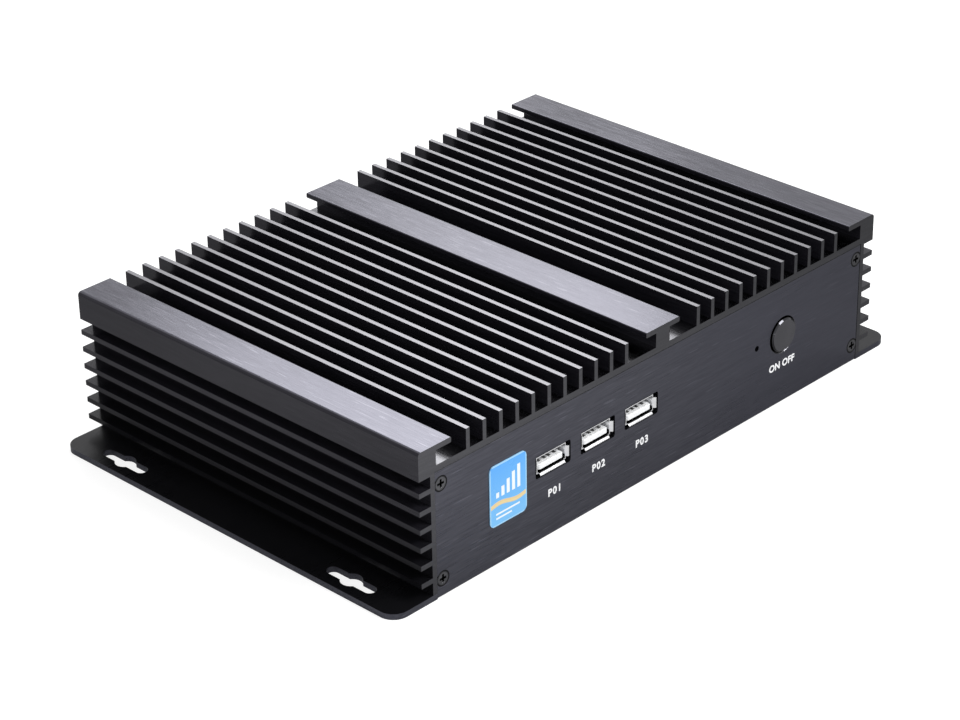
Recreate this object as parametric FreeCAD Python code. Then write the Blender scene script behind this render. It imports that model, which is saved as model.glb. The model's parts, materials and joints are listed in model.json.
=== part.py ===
import FreeCAD, Part
import math
import os

from FreeCAD import Vector

# Fanless industrial computer in a finned aluminium casing.
#
# One inverted-U extrusion is the lid, both side walls and the heat sink.  A flat plate closes it
# from below and reaches past the side walls as two slotted mounting flanges.  A flat panel closes
# each end, seated in a milled rebate so that its face is flush with the cut end of the extrusion.
# The mainboard hangs from the roof on hexagonal spacers, so its processor faces the roof through
# a solid aluminium block, and its sockets and plug-in cards face down.
#
# Frame: X runs along the front panel, the front faces -Y, Z is up.  The origin is on the
# underside of the base plate, under the middle of the casing.  Lengths are in millimetres.

# ---------------------------------------------------------------- casing: extrusion
body_width = 215.0
body_depth = 152.5
body_height = 52.4
fin_height = 6.8
fin_thickness = 1.5
fin_pitch = 7.0
fins_per_side = 11
first_fin_offset = 17.0
roof_thickness = 3.6
side_wall_thickness = 3.0
side_fin_length = 4.7
side_fin_thickness = 1.7
side_fin_pitch = 6.15
side_fin_count = 6
lowest_side_fin_height = 7.3
side_cap_width = 13.6
side_cap_web = 7.2
side_cap_height = 9.6
centre_cap_width = 15.7
centre_web_width = 6.4
cap_lip_thickness = 1.8
cap_edge_radius = 1.2
lip_edge_radius = 0.4
rail_width = 8.0
rail_height = 7.1
screw_boss_radius = 2.8
screw_channel_slit = 1.2

# ---------------------------------------------------------------- casing: base plate and panels
base_plate_width = 238.5
base_plate_thickness = 2.0
base_plate_corner = 5.5
base_plate_rear_setback = 0.6
slot_edge_inset = 6.25
slot_spacing_along = 104.0
slot_length = 20.0
slot_width = 4.2
slot_centre_diameter = 7.0
panel_thickness = 2.0
panel_clearance = 0.1
panel_ground_gap = 0.2
wall_rebate = 1.2
roof_rebate = 1.5
edge_break = 0.2

# ---------------------------------------------------------------- fasteners
panel_screw_inset = 2.3
upper_panel_screw_drop = 4.7
lower_panel_screw_height = 6.2
panel_screw_head_radius = 2.35
panel_screw_radius = 1.2
panel_screw_length = 8.0
base_screw_inset = 5.0
base_screw_spacing = 60.0
base_screws_per_side = 3
base_screw_head_radius = 2.8
base_screw_radius = 1.4
base_screw_length = 7.0
countersink_slope = 1.0
recess_length_share = 0.62
recess_width_share = 0.17
recess_depth_share = 0.55
pan_head_edge_share = 0.4
screw_clearance = 0.05
thread_end_gap = 0.5

# ---------------------------------------------------------------- front controls and sockets
data_first_x = -50.4
data_pitch = 20.3
data_port_count = 3
data_axis_height = 26.0
data_opening_width = 12.5
data_opening_height = 5.12
data_shell_wall = 0.3
data_shell_depth = 14.0
data_lip_run = 0.8
data_lip_rise = 0.7
data_lip_corner_gap = 1.0
data_tongue_width = 11.1
data_tongue_thickness = 1.84
data_tongue_recess = 0.7
data_tongue_corner = 1.0
data_insert_depth = 3.4
data_insert_clearance = 0.04
data_cutout_margin = 0.3
data_cutout_side_margin = 0.6
data_cutout_corner = 0.8
data_contact_width = 1.0
data_contact_thickness = 0.12
data_contact_spacings = (-3.5, -1.0, 1.0, 3.5)
port_recess = 0.1
stack_divider = 2.4
stack_wall = 0.6
badge_width = 16.0
badge_height = 21.0
badge_thickness = 0.3
badge_corner = 2.0
badge_x = -70.5
badge_z = 24.4
button_x = 60.5
button_height = 25.3
button_diameter = 12.0
button_gap = 0.3
button_proud = 0.8
button_bevel = 0.5
button_hole_bevel = 0.35
button_flange_rim = 1.5
button_flange_thickness = 1.0
button_travel = 0.8
button_stem_diameter = 3.0
button_stem_length = 1.5
plunger_diameter = 3.4
plunger_length = 2.0
plunger_clearance = 0.15
plunger_well = 1.1
switch_size = 6.0
switch_depth = 3.4
button_board_width = 30.0
button_board_height = 12.0
button_board_thickness = 1.2
lamp_x = 47.1
lamp_hole_diameter = 2.0
lamp_diameter = 3.0
lamp_tip_diameter = 1.6
lamp_front_gap = 0.4
lamp_flange_rim = 0.4
lamp_flange_thickness = 1.0
header_pins = 4
header_pitch = 2.54
header_pin_width = 0.64
header_pin_tail = 1.2

# ---------------------------------------------------------------- mainboard and what it carries
board_side_gap = 5.8
board_end_gap = 2.25
board_thickness = 1.6
board_corner = 2.0
board_notch_gap = 0.4
board_notch_corner = 1.0
spacer_across_flats = 5.5
spacer_inset_x = 6.0
spacer_front_inset = 8.0
spacer_rear_inset = 26.0
spacer_thread_radius = 1.25
spacer_stud_radius = 1.2
spacer_stud_length = 2.4
board_screw_head_radius = 2.75
board_screw_head_height = 2.0
board_screw_radius = 1.2
board_screw_length = 7.0
board_hole_radius = 1.7
processor_x = 20.0
processor_y = -5.0
processor_width = 40.0
processor_depth = 24.0
processor_substrate = 1.0
processor_die = 0.6
main_die_width = 13.0
second_die_width = 8.0
die_depth = 10.0
die_gap = 4.0
pad_thickness = 0.3
block_width = 60.0
block_depth = 52.0
block_corner = 3.0
block_screw_inset_x = 5.0
block_screw_inset_y = 5.0
block_screw_radius = 1.2
block_screw_cover = 3.0
memory_x = -50.0
memory_rear_inset = 54.0
memory_width = 67.6
memory_depth = 30.0
memory_thickness = 1.0
memory_chip_width = 12.0
memory_chip_depth = 10.0
memory_chip_height = 0.9
memory_chip_count = 4
memory_drop = 2.6
memory_socket_bar = 6.5
memory_socket_arm = 3.5
memory_socket_height = 4.4
memory_edge_grip = 2.2
ssd_side_inset = 25.0
ssd_y = -19.5
ssd_width = 30.0
ssd_length = 51.0
ssd_thickness = 1.0
ssd_chip_size = 14.0
ssd_chip_height = 1.0
ssd_chip_spacing = 18.0
ssd_drop = 2.6
ssd_socket_depth = 8.0
ssd_socket_height = 4.0
ssd_edge_grip = 2.5
ssd_post_inset = 3.0
ssd_post_radius = 2.2
ssd_screw_radius = 0.9
ssd_screw_head_radius = 2.0
ssd_screw_head_height = 1.2
cell_x = -45.0
cell_y = -32.0
cell_radius = 10.0
cell_thickness = 3.2
cell_seat = 1.2
cell_holder_wall = 1.4
cell_clearance = 0.1
rear_chips = ((2.0, 32.0, 14.0), (-40.0, 25.0, 6.0), (-58.0, 25.0, 6.0))
front_chips = ((20.0, 20.0, 7.0),)
chip_height = 1.2
coil_size = 7.0
coil_height = 4.0
coil_pitch = 9.0
coil_count = 4
coil_row_x = -24.0
capacitor_radius = 3.2
capacitor_roof_gap = 5.04
capacitor_pitch = 9.0
capacitor_count = 5
capacitor_row_x = -36.0

# ---------------------------------------------------------------- rear sockets
port_row_inset = 2.0
power_jack_width = 9.0
power_jack_height = 11.0
power_jack_depth = 14.0
power_jack_bore_radius = 3.2
power_jack_bore_depth = 9.5
power_jack_pin_radius = 1.0
power_jack_pin_recess = 0.5
dsub_flange_width = 30.8
dsub_flange_height = 12.5
dsub_flange_thickness = 0.8
dsub_width = 16.9
dsub_height = 8.3
dsub_corner = 2.0
dsub_lean = 1.5
dsub_nose = 5.8
dsub_wall = 0.5
dsub_body_depth = 9.0
dsub_screw_spacing = 24.99
dsub_pin_pitch = 2.77
dsub_pin_rows_gap = 2.84
dsub_pin_radius = 0.5
dsub_pin_recess = 1.0
display_hole_pitch = 2.29
display_row_gap = 1.98
display_hole_radius = 0.4
jack_screw_across_flats = 4.75
jack_screw_length = 5.0
jack_screw_bore_radius = 1.1
jack_screw_stud_radius = 1.3
video_width = 15.0
video_height = 5.6
video_wall = 0.35
video_depth = 11.0
video_corner_cut = 1.5
video_tongue_width = 11.5
video_tongue_thickness = 1.2
lan_width = 15.9
lan_height = 13.4
lan_depth = 21.0
lan_shield = 0.3
lan_brow = 0.4
lan_cavity_width = 11.8
lan_cavity_height = 7.0
lan_cavity_depth = 13.0
lan_latch_width = 6.2
lan_latch_height = 2.4
lan_contact_count = 8
lan_contact_pitch = 1.02
lan_contact_width = 0.45
lan_contact_depth = 9.0
lan_lamp_width = 2.6
lan_lamp_height = 2.0
lan_lamp_depth = 1.5
audio_width = 7.0
audio_height = 6.0
audio_depth = 12.0
audio_nose_radius = 3.0
audio_bore_radius = 1.8
audio_back_wall = 2.0
audio_nose_length = 2.6
cutout_margin = 0.3

# ---------------------------------------------------------------- worked out from the above
front_y = -body_depth / 2
rear_y = body_depth / 2
channel_floor_z = body_height - fin_height
roof_z = channel_floor_z - roof_thickness
wall_outer_x = body_width / 2 - side_fin_length
wall_inner_x = wall_outer_x - side_wall_thickness
rebate_x = wall_inner_x + wall_rebate
rebate_z = roof_z + roof_rebate
panel_half_width = rebate_x - panel_clearance
panel_top_z = rebate_z - panel_clearance
panel_screw_x = panel_half_width - panel_screw_inset
panel_screw_heights = (lower_panel_screw_height, panel_top_z - upper_panel_screw_drop)
rail_inner_x = wall_inner_x - rail_width
slot_spacing_across = base_plate_width - 2 * slot_edge_inset
base_screw_x = wall_inner_x - base_screw_inset
data_shell_width = data_opening_width + 2 * data_shell_wall
data_shell_height = data_opening_height + 2 * data_shell_wall
data_row_x = [data_first_x + data_pitch * number for number in range(data_port_count)]
board_under_z = data_axis_height + data_shell_height / 2
board_top_z = board_under_z + board_thickness
board_width = 2 * (wall_inner_x - board_side_gap)
board_depth = body_depth - 2 * (panel_thickness + board_end_gap)
spacer_x = board_width / 2 - spacer_inset_x
spacer_front_y = spacer_front_inset - board_depth / 2
spacer_rear_y = board_depth / 2 - spacer_rear_inset
spacer_rows = (spacer_front_y, (spacer_front_y + spacer_rear_y) / 2, spacer_rear_y)
spacer_bore_depth = board_screw_length - board_thickness + thread_end_gap
spacer_points = [(side * spacer_x, y) for side in (-1, 1) for y in spacer_rows]
processor_top_z = board_top_z + processor_substrate + processor_die
block_bottom_z = processor_top_z + pad_thickness
block_top_z = roof_z - pad_thickness
block_screw_bite = block_top_z - block_bottom_z - block_screw_cover - thread_end_gap
block_screw_points = [
    (processor_x + i * (block_width / 2 - block_screw_inset_x),
     processor_y + j * (block_depth / 2 - block_screw_inset_y))
    for i in (-1, 1) for j in (-1, 1)
]
memory_y = board_depth / 2 - memory_rear_inset
ssd_x = board_width / 2 - ssd_side_inset
capacitor_height = roof_z - board_top_z - capacitor_roof_gap
stack_height = 2 * data_opening_height + stack_divider + 2 * stack_wall
stack_width = data_opening_width + 2 * stack_wall
stack_offset = (data_opening_height + stack_divider) / 2
button_flange_front = panel_thickness + screw_clearance
button_flange_back = button_flange_front + button_flange_thickness
stem_end = button_flange_back + button_stem_length
switch_front = stem_end + plunger_length - plunger_well
board_face = switch_front + switch_depth
front_parts_middle_x = (button_x + lamp_x) / 2
data_block_front = data_shell_depth - data_insert_depth


# ---------------------------------------------------------------- building helpers
def span_box(x_span, y_span, z_span):
    """A block between the low and high value given on each axis."""
    size = [high - low for low, high in (x_span, y_span, z_span)]
    return Part.makeBox(*size, Vector(x_span[0], y_span[0], z_span[0]))


def middle_box(centre, size):
    """A block of the given size about its centre."""
    return span_box(*[(c - s / 2, c + s / 2) for c, s in zip(centre, size)])


def rectangle(x_span, z_span):
    """A flat rectangle in the XZ plane, for the extruded profile."""
    corners = [
        Vector(x_span[0], 0, z_span[0]),
        Vector(x_span[1], 0, z_span[0]),
        Vector(x_span[1], 0, z_span[1]),
        Vector(x_span[0], 0, z_span[1]),
    ]
    return Part.Face(Part.makePolygon(corners + corners[:1]))


def prism(points, run):
    """A polygon carried along the vector run."""
    corners = [Vector(*point) for point in points]
    return Part.Face(Part.makePolygon(corners + corners[:1])).extrude(Vector(*run))


def rod(radius, start, end):
    """A round bar from one point to another."""
    run = Vector(*end) - Vector(*start)
    return Part.makeCylinder(radius, run.Length, Vector(*start), run)


def cone(start_radius, end_radius, start, end):
    """A straight taper from one point to another."""
    run = Vector(*end) - Vector(*start)
    return Part.makeCone(start_radius, end_radius, run.Length, Vector(*start), run)


def hexagon_rod(across_flats, start, run):
    """A hexagonal bar that starts at a point and runs along Y or Z."""
    radius = across_flats / math.sqrt(3)
    along_y = run[1] != 0
    corners = []
    for turn in range(6):
        u = radius * math.cos(math.radians(60 * turn))
        v = radius * math.sin(math.radians(60 * turn))
        corners.append((start[0] + u, start[1] + (0 if along_y else v), start[2] + (v if along_y else 0)))
    return prism(corners, run)


def edges_along(shape, axis):
    """The straight edges of a shape that run along X (0), Y (1) or Z (2)."""
    found = []
    for edge in shape.Edges:
        if len(edge.Vertexes) == 2 and isinstance(edge.Curve, Part.Line):
            step = edge.Vertexes[1].Point - edge.Vertexes[0].Point
            if abs(abs(step[axis]) - step.Length) < 1e-6:
                found.append(edge)
    return found


def rounded_box(centre, size, radius, axis):
    """A block whose four edges along one axis are rounded."""
    block = middle_box(centre, size)
    return block.makeFillet(radius, edges_along(block, axis))


def join(first, *others):
    """One solid made of several that touch or overlap."""
    return first.multiFuse(list(others)).removeSplitter() if others else first


def cut_all(shape, tools):
    """A solid with several pieces removed."""
    return shape.cut(Part.makeCompound(tools))


def at_front(shape, x, z, recess=0.0):
    """Move a socket from its own frame (mouth at y=0, inwards +Y) into the front panel."""
    moved = shape.copy()
    moved.translate(Vector(x, front_y + recess, z))
    return moved


def at_rear(shape, x, z, recess=0.0):
    """Turn a socket round and move it into the rear panel."""
    moved = shape.copy()
    moved.rotate(Vector(0, 0, 0), Vector(0, 0, 1), 180)
    moved.translate(Vector(x, rear_y - recess, z))
    return moved


def write(node, *shapes):
    """Write one node as STEP: a single solid, or a group of separate ones."""
    solids = [solid for shape in shapes for solid in shape.Solids]
    body = solids[0] if len(solids) == 1 else Part.makeCompound(solids)
    body.exportStep("parts/" + node + ".step")


# ---------------------------------------------------------------- fasteners
def cross_recess(head_radius, head_depth):
    """Two crossed slots with sloping floors, cut into a head whose face is at y=0."""
    reach = head_radius * recess_length_share
    half = head_radius * recess_width_share
    depth = head_depth * recess_depth_share + head_radius * recess_width_share
    outline = [(-reach, 0, -half), (reach, 0, -half), (half, depth, -half), (-half, depth, -half)]
    slot = prism(outline, (0, 0, 2 * half))
    turned = slot.copy()
    turned.rotate(Vector(0, 0, 0), Vector(0, 1, 0), 90)
    return slot.fuse(turned)


def countersunk_screw(head_radius, radius, length):
    """A flat-head screw whose face is at y=0 and whose thread runs to +Y."""
    head_depth = (head_radius - radius) / countersink_slope
    head = cone(head_radius, radius, (0, 0, 0), (0, head_depth, 0))
    thread = rod(radius, (0, head_depth, 0), (0, length, 0))
    return join(head, thread).cut(cross_recess(head_radius, head_depth))


def countersunk_hole(head_radius, radius, depth):
    """The hole that such a screw sits in, through a plate of the given depth."""
    wide = head_radius + screw_clearance
    narrow = radius + screw_clearance
    head_depth = (wide - narrow) / countersink_slope
    sink = cone(wide, narrow, (0, 0, 0), (0, head_depth, 0))
    return sink.fuse(rod(narrow, (0, 0, 0), (0, depth, 0)))


def pan_screw(head_radius, head_height, radius, length):
    """A pan-head screw whose seat is at z=0, thread up and head down."""
    head = rod(head_radius, (0, 0, -head_height), (0, 0, 0))
    low_rim = [edge for edge in head.Edges if edge.Closed and edge.BoundBox.ZMax < -head_height / 2]
    head = head.makeChamfer(head_height * pan_head_edge_share, low_rim)
    return join(head, rod(radius, (0, 0, 0), (0, 0, length)))


# ---------------------------------------------------------------- casing
def housing_profile():
    """The extrusion's cross-section, as one flat face in the XZ plane."""
    lip_z = (body_height - cap_lip_thickness, body_height)
    outer_x = body_width / 2
    faces = [
        rectangle((-wall_outer_x, wall_outer_x), (roof_z, channel_floor_z)),
        rectangle((-centre_web_width / 2, centre_web_width / 2), (channel_floor_z, body_height)),
        rectangle((-centre_cap_width / 2, centre_cap_width / 2), lip_z),
    ]
    for number in range(fins_per_side):
        x = first_fin_offset + number * fin_pitch
        for side in (-1, 1):
            spine = side * x
            across = (spine - fin_thickness / 2, spine + fin_thickness / 2)
            faces.append(rectangle(across, (channel_floor_z, body_height)))
    boss_x = panel_screw_x - screw_boss_radius
    boss_z = panel_screw_heights[1] - screw_boss_radius
    right_hand = [
        ((wall_inner_x, wall_outer_x), (base_plate_thickness, roof_z)),
        ((outer_x - side_cap_web, outer_x), (body_height - side_cap_height, body_height)),
        ((outer_x - side_cap_width, outer_x), lip_z),
        ((rail_inner_x, wall_inner_x), (base_plate_thickness, base_plate_thickness + rail_height)),
        ((boss_x, wall_inner_x), (boss_z, roof_z)),
    ]
    for number in range(side_fin_count):
        z = lowest_side_fin_height + number * side_fin_pitch
        across = (z - side_fin_thickness / 2, z + side_fin_thickness / 2)
        right_hand.append(((wall_outer_x, outer_x), across))
    for (low, high), z_span in right_hand:
        faces.append(rectangle((low, high), z_span))
        faces.append(rectangle((-high, -low), z_span))
    return faces[0].multiFuse(faces[1:]).removeSplitter().Faces[0]


def round_long_edges(solid, places, radius):
    """Round the edges along Y that pass through the given (x, z) places."""
    chosen = []
    for edge in edges_along(solid, 1):
        point = edge.Vertexes[0].Point
        if any(abs(point.x - x) < 1e-4 and abs(point.z - z) < 1e-4 for x, z in places):
            chosen.append(edge)
    return solid.makeFillet(radius, chosen)


def finned_housing():
    """Extrude the profile, round its caps, then mill the panel seats and drill the holes."""
    solid = housing_profile().extrude(Vector(0, body_depth, 0))
    solid.translate(Vector(0, front_y, 0))
    lip_z = body_height - cap_lip_thickness
    cap_x = body_width / 2
    inner_x = cap_x - side_cap_width
    outer_edges = [(side * cap_x, body_height) for side in (-1, 1)]
    lip_edges = [(side * x, z) for side in (-1, 1) for x in (inner_x, centre_cap_width / 2)
                 for z in (lip_z, body_height)]
    solid = round_long_edges(solid, outer_edges, cap_edge_radius)
    solid = round_long_edges(solid, lip_edges, lip_edge_radius)

    cuts = []
    for end in (-1, 1):
        outer = end * (rear_y + panel_thickness)
        shoulder = end * (rear_y - panel_thickness)
        y_span = (min(outer, shoulder), max(outer, shoulder))
        cuts.append(span_box((-rebate_x, rebate_x), y_span, (0, rebate_z)))
    hole = panel_screw_radius + screw_clearance
    low_z, high_z = panel_screw_heights
    for side in (-1, 1):
        x = side * panel_screw_x
        for z in panel_screw_heights:
            cuts.append(rod(hole, (x, front_y, z), (x, rear_y, z)))
        slit = screw_channel_slit / 2
        rail_top = base_plate_thickness + rail_height
        cuts.append(span_box((x - slit, x + slit), (front_y, rear_y), (low_z, rail_top)))
        inwards = sorted((x, side * (panel_screw_x - screw_boss_radius)))
        cuts.append(span_box(inwards, (front_y, rear_y), (high_z - slit, high_z + slit)))
        for y in base_screw_rows():
            top = base_screw_length + thread_end_gap
            cuts.append(rod(base_screw_radius + screw_clearance,
                            (side * base_screw_x, y, 0), (side * base_screw_x, y, top)))
    for x, y in spacer_points:
        stud_top = roof_z + spacer_stud_length + thread_end_gap
        cuts.append(rod(spacer_thread_radius, (x, y, roof_z), (x, y, stud_top)))
    return cut_all(solid, cuts)


def base_screw_rows():
    """The screw places along one rail, evenly spaced about its middle."""
    middle = (base_screws_per_side - 1) / 2
    return [(number - middle) * base_screw_spacing for number in range(base_screws_per_side)]


def mounting_slot(x, y):
    """A slot along Y with a round clearance at its middle for a screw head."""
    deep = (-base_plate_thickness, 2 * base_plate_thickness)
    reach = (slot_length - slot_width) / 2
    half = slot_width / 2
    channel = span_box((x - half, x + half), (y - reach, y + reach), deep)
    ends = [rod(half, (x, y + side * reach, deep[0]), (x, y + side * reach, deep[1])) for side in (-1, 1)]
    middle = rod(slot_centre_diameter / 2, (x, y, deep[0]), (x, y, deep[1]))
    return join(channel, middle, *ends)


def base_plate():
    """The flat bottom plate, notched behind both panels, with a slotted flange on each side."""
    size = (base_plate_width, body_depth - base_plate_rear_setback, base_plate_thickness)
    centre = (0, -base_plate_rear_setback / 2, base_plate_thickness / 2)
    plate = rounded_box(centre, size, base_plate_corner, 2)
    cuts = []
    for side in (-1, 1):
        notch = panel_thickness + panel_clearance
        y_span = sorted((side * rear_y, side * (rear_y - notch)))
        cuts.append(span_box((-rebate_x, rebate_x), y_span, (0, base_plate_thickness)))
        for y in base_screw_rows():
            hole = countersunk_hole(base_screw_head_radius, base_screw_radius, base_plate_thickness)
            hole.rotate(Vector(0, 0, 0), Vector(1, 0, 0), 90)
            hole.translate(Vector(side * base_screw_x, y, 0))
            cuts.append(hole)
        for y in (-slot_spacing_along / 2, slot_spacing_along / 2):
            cuts.append(mounting_slot(side * slot_spacing_across / 2, y))
    return cut_all(plate, cuts)


def base_plate_screws():
    """Flat-head screws from below into the rails."""
    screws = []
    for side in (-1, 1):
        for y in base_screw_rows():
            screw = countersunk_screw(base_screw_head_radius, base_screw_radius, base_screw_length)
            screw.rotate(Vector(0, 0, 0), Vector(1, 0, 0), 90)
            screw.translate(Vector(side * base_screw_x, y, 0))
            screws.append(screw)
    return screws


def blank_panel():
    """A panel in its own frame: face at y=0, thickness to +Y, with its four screw holes."""
    size = (2 * panel_half_width, panel_thickness, panel_top_z - panel_ground_gap)
    centre = (0, panel_thickness / 2, (panel_top_z + panel_ground_gap) / 2)
    panel = middle_box(centre, size)
    rim = [edge for edge in panel.Edges if edge.BoundBox.YMax < edge_break / 2]
    panel = panel.makeChamfer(edge_break, rim)
    holes = []
    for x, z in panel_screw_points():
        hole = countersunk_hole(panel_screw_head_radius, panel_screw_radius, panel_thickness)
        hole.translate(Vector(x, 0, z))
        holes.append(hole)
    return cut_all(panel, holes)


def panel_screw_points():
    """The four screw places of a panel."""
    return [(side * panel_screw_x, z) for side in (-1, 1) for z in panel_screw_heights]


def panel_screws(place):
    """The four flat-head screws of one panel."""
    screw = countersunk_screw(panel_screw_head_radius, panel_screw_radius, panel_screw_length)
    return [place(screw, x, z) for x, z in panel_screw_points()]


def through(shape_centre, size, radius=0.0):
    """A rectangular cut-out through a panel, with rounded corners where a radius is given."""
    centre = (shape_centre[0], panel_thickness / 2, shape_centre[1])
    box_size = (size[0], 2 * panel_thickness, size[1])
    return rounded_box(centre, box_size, radius, 1) if radius else middle_box(centre, box_size)


def round_hole(x, z, radius):
    """A round hole through a panel."""
    return rod(radius, (x, -panel_thickness, z), (x, 2 * panel_thickness, z))


def front_panel():
    """The front panel: three socket cut-outs, the lamp hole and the bevelled button hole."""
    size = (data_shell_width + 2 * (data_lip_rise + data_cutout_side_margin),
            data_shell_height + 2 * (data_lip_rise + data_cutout_margin))
    cuts = [through((x, data_axis_height), size, data_cutout_corner) for x in data_row_x]
    cuts.append(round_hole(lamp_x, button_height, lamp_hole_diameter / 2))
    hole = button_diameter / 2 + button_gap
    cuts.append(round_hole(button_x, button_height, hole))
    cuts.append(cone(hole + button_hole_bevel, hole, (button_x, 0, button_height),
                     (button_x, button_hole_bevel, button_height)))
    return at_front(cut_all(blank_panel(), cuts), 0, 0)


def badge_sticker():
    """A thin plain badge with rounded corners on the front panel's face."""
    centre = (badge_x, front_y - badge_thickness / 2, badge_z)
    return rounded_box(centre, (badge_width, badge_thickness, badge_height), badge_corner, 1)


# ---------------------------------------------------------------- data sockets
def flared_lips(width, height, wall):
    """Four bent lips round the mouth of a sheet-metal tube, open at the corners."""
    lips = []
    run, rise = data_lip_run, data_lip_rise
    for side in (-1, 1):
        edge = side * height / 2
        inner = side * (height / 2 - wall)
        outline = [(run, edge), (0, edge + side * rise), (0, inner + side * rise), (run, inner)]
        half = width / 2 - data_lip_corner_gap
        lips.append(prism([(-half, y, z) for y, z in outline], (2 * half, 0, 0)))
        edge = side * width / 2
        inner = side * (width / 2 - wall)
        outline = [(run, edge), (0, edge + side * rise), (0, inner + side * rise), (run, inner)]
        half = height / 2 - data_lip_corner_gap
        lips.append(prism([(x, y, -half) for y, x in outline], (0, 0, 2 * half)))
    return lips


def data_shell():
    """The folded steel shell of a single socket."""
    middle_y = (data_lip_run + data_shell_depth) / 2
    length = data_shell_depth - data_lip_run
    tube = middle_box((0, middle_y, 0), (data_shell_width, length, data_shell_height))
    tube = tube.cut(middle_box((0, middle_y, 0), (data_opening_width, length, data_opening_height)))
    return join(tube, *flared_lips(data_shell_width, data_shell_height, data_shell_wall))


def data_tongue(z, back_y):
    """The plastic tongue of a socket: its contact face is on the socket's axis and looks up."""
    z_span = (z - data_tongue_thickness, z)
    y_span = (data_tongue_recess, back_y)
    tongue = span_box((-data_tongue_width / 2, data_tongue_width / 2), y_span, z_span)
    face_y = data_tongue_recess + edge_break
    corners = [edge for edge in edges_along(tongue, 2) if edge.BoundBox.YMax < face_y]
    tongue = tongue.makeFillet(data_tongue_corner, corners)
    front = [edge for edge in edges_along(tongue, 0) if edge.BoundBox.YMax < face_y]
    return tongue.makeChamfer(edge_break, front)


def data_insert():
    """The moulding inside a single socket: a back block with the tongue."""
    size = (data_opening_width - 2 * data_insert_clearance, data_insert_depth,
            data_opening_height - 2 * data_insert_clearance)
    block = middle_box((0, data_block_front + data_insert_depth / 2, 0), size)
    return join(block, data_tongue(0, data_block_front))


def data_contacts(z, back_y):
    """Four contact strips that lie on the tongue."""
    strips = []
    for x in data_contact_spacings:
        x_span = (x - data_contact_width / 2, x + data_contact_width / 2)
        y_span = (data_tongue_recess + 2 * edge_break, back_y)
        strips.append(span_box(x_span, y_span, (z, z + data_contact_thickness)))
    return strips


def data_stack_shell():
    """The steel shell of a double socket: two openings above each other."""
    middle_y = (data_lip_run + data_shell_depth) / 2
    length = data_shell_depth - data_lip_run
    shell = middle_box((0, middle_y, 0), (stack_width, length, stack_height))
    rooms = [middle_box((0, middle_y, z), (data_opening_width, length, data_opening_height))
             for z in (-stack_offset, stack_offset)]
    behind = span_box((-data_opening_width / 2, data_opening_width / 2),
                      (data_shell_depth - data_insert_depth, data_shell_depth),
                      (-stack_offset, stack_offset))
    shell = cut_all(shell, rooms + [behind])
    return join(shell, *flared_lips(stack_width, stack_height, data_shell_wall))


def data_stack_insert():
    """The moulding of a double socket: one back block with two tongues."""
    inner_height = 2 * stack_offset + data_opening_height
    size = (data_opening_width - 2 * data_insert_clearance, data_insert_depth - data_insert_clearance,
            inner_height - 2 * data_insert_clearance)
    block = middle_box((0, data_shell_depth - size[1] / 2, 0), size)
    tongues = [data_tongue(z, data_shell_depth - size[1]) for z in (-stack_offset, stack_offset)]
    return join(block, *tongues)


# ---------------------------------------------------------------- power button and lamp
def power_button():
    """The turned cap, its retaining flange behind the panel, and its stem."""
    cap = rod(button_diameter / 2, (0, -button_proud, 0), (0, button_flange_front, 0))
    rim = [edge for edge in cap.Edges if edge.BoundBox.YMax < -button_proud / 2]
    cap = cap.makeChamfer(button_bevel, rim)
    flange_radius = button_diameter / 2 + button_gap + button_flange_rim
    flange = rod(flange_radius, (0, button_flange_front, 0), (0, button_flange_back, 0))
    stem = rod(button_stem_diameter / 2, (0, button_flange_back, 0), (0, stem_end, 0))
    return at_front(join(cap, flange, stem), button_x, button_height)


def switch_plunger():
    """The switch's own plunger, which the stem pushes."""
    plunger = rod(plunger_diameter / 2, (0, stem_end, 0), (0, stem_end + plunger_length, 0))
    return at_front(plunger, button_x, button_height)


def switch_body():
    """The square push switch on the button board, with the plunger's well."""
    middle = switch_front + switch_depth / 2
    body = rounded_box((0, middle, 0), (switch_size, switch_depth, switch_size), edge_break, 1)
    well_end = stem_end + plunger_length + button_travel + plunger_clearance
    well = rod(plunger_diameter / 2 + plunger_clearance, (0, 0, 0), (0, well_end, 0))
    return at_front(body.cut(well), button_x, button_height)


def button_board():
    """The small upright circuit board behind the button and the lamp, under the mainboard."""
    reach = button_board_width / 2
    x_span = (front_parts_middle_x - reach, front_parts_middle_x + reach)
    y_span = (front_y + board_face, front_y + board_face + button_board_thickness)
    z_span = (board_under_z - button_board_height, board_under_z)
    return span_box(x_span, y_span, z_span)


def header_columns():
    """The x places of the header's pins."""
    middle = (header_pins - 1) / 2
    return [front_parts_middle_x + (number - middle) * header_pitch for number in range(header_pins)]


def button_board_header():
    """The pin strip that carries the button board under the mainboard."""
    back = front_y + board_face + button_board_thickness
    columns = header_columns()
    x_span = (columns[0] - header_pitch / 2, columns[-1] + header_pitch / 2)
    block = span_box(x_span, (back, back + header_pitch), (board_under_z - header_pitch, board_under_z))
    half = header_pin_width / 2
    middle_y = back + header_pitch / 2
    tails = []
    for x in columns:
        z_span = (board_under_z - header_pitch - header_pin_tail, board_under_z - header_pitch)
        tails.append(span_box((x - half, x + half), (middle_y - half, middle_y + half), z_span))
    return join(block, *tails)


def status_lamp():
    """The round lamp behind its hole: a barrel with a tapered tip, on a flange."""
    radius = lamp_diameter / 2
    tip = panel_thickness + lamp_front_gap
    shoulder = tip + (lamp_diameter - lamp_tip_diameter) / 2
    point = cone(lamp_tip_diameter / 2, radius, (0, tip, 0), (0, shoulder, 0))
    barrel = rod(radius, (0, shoulder, 0), (0, board_face, 0))
    flange = rod(radius + lamp_flange_rim, (0, board_face - lamp_flange_thickness, 0), (0, board_face, 0))
    return at_front(join(point, barrel, flange), lamp_x, button_height)


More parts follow.
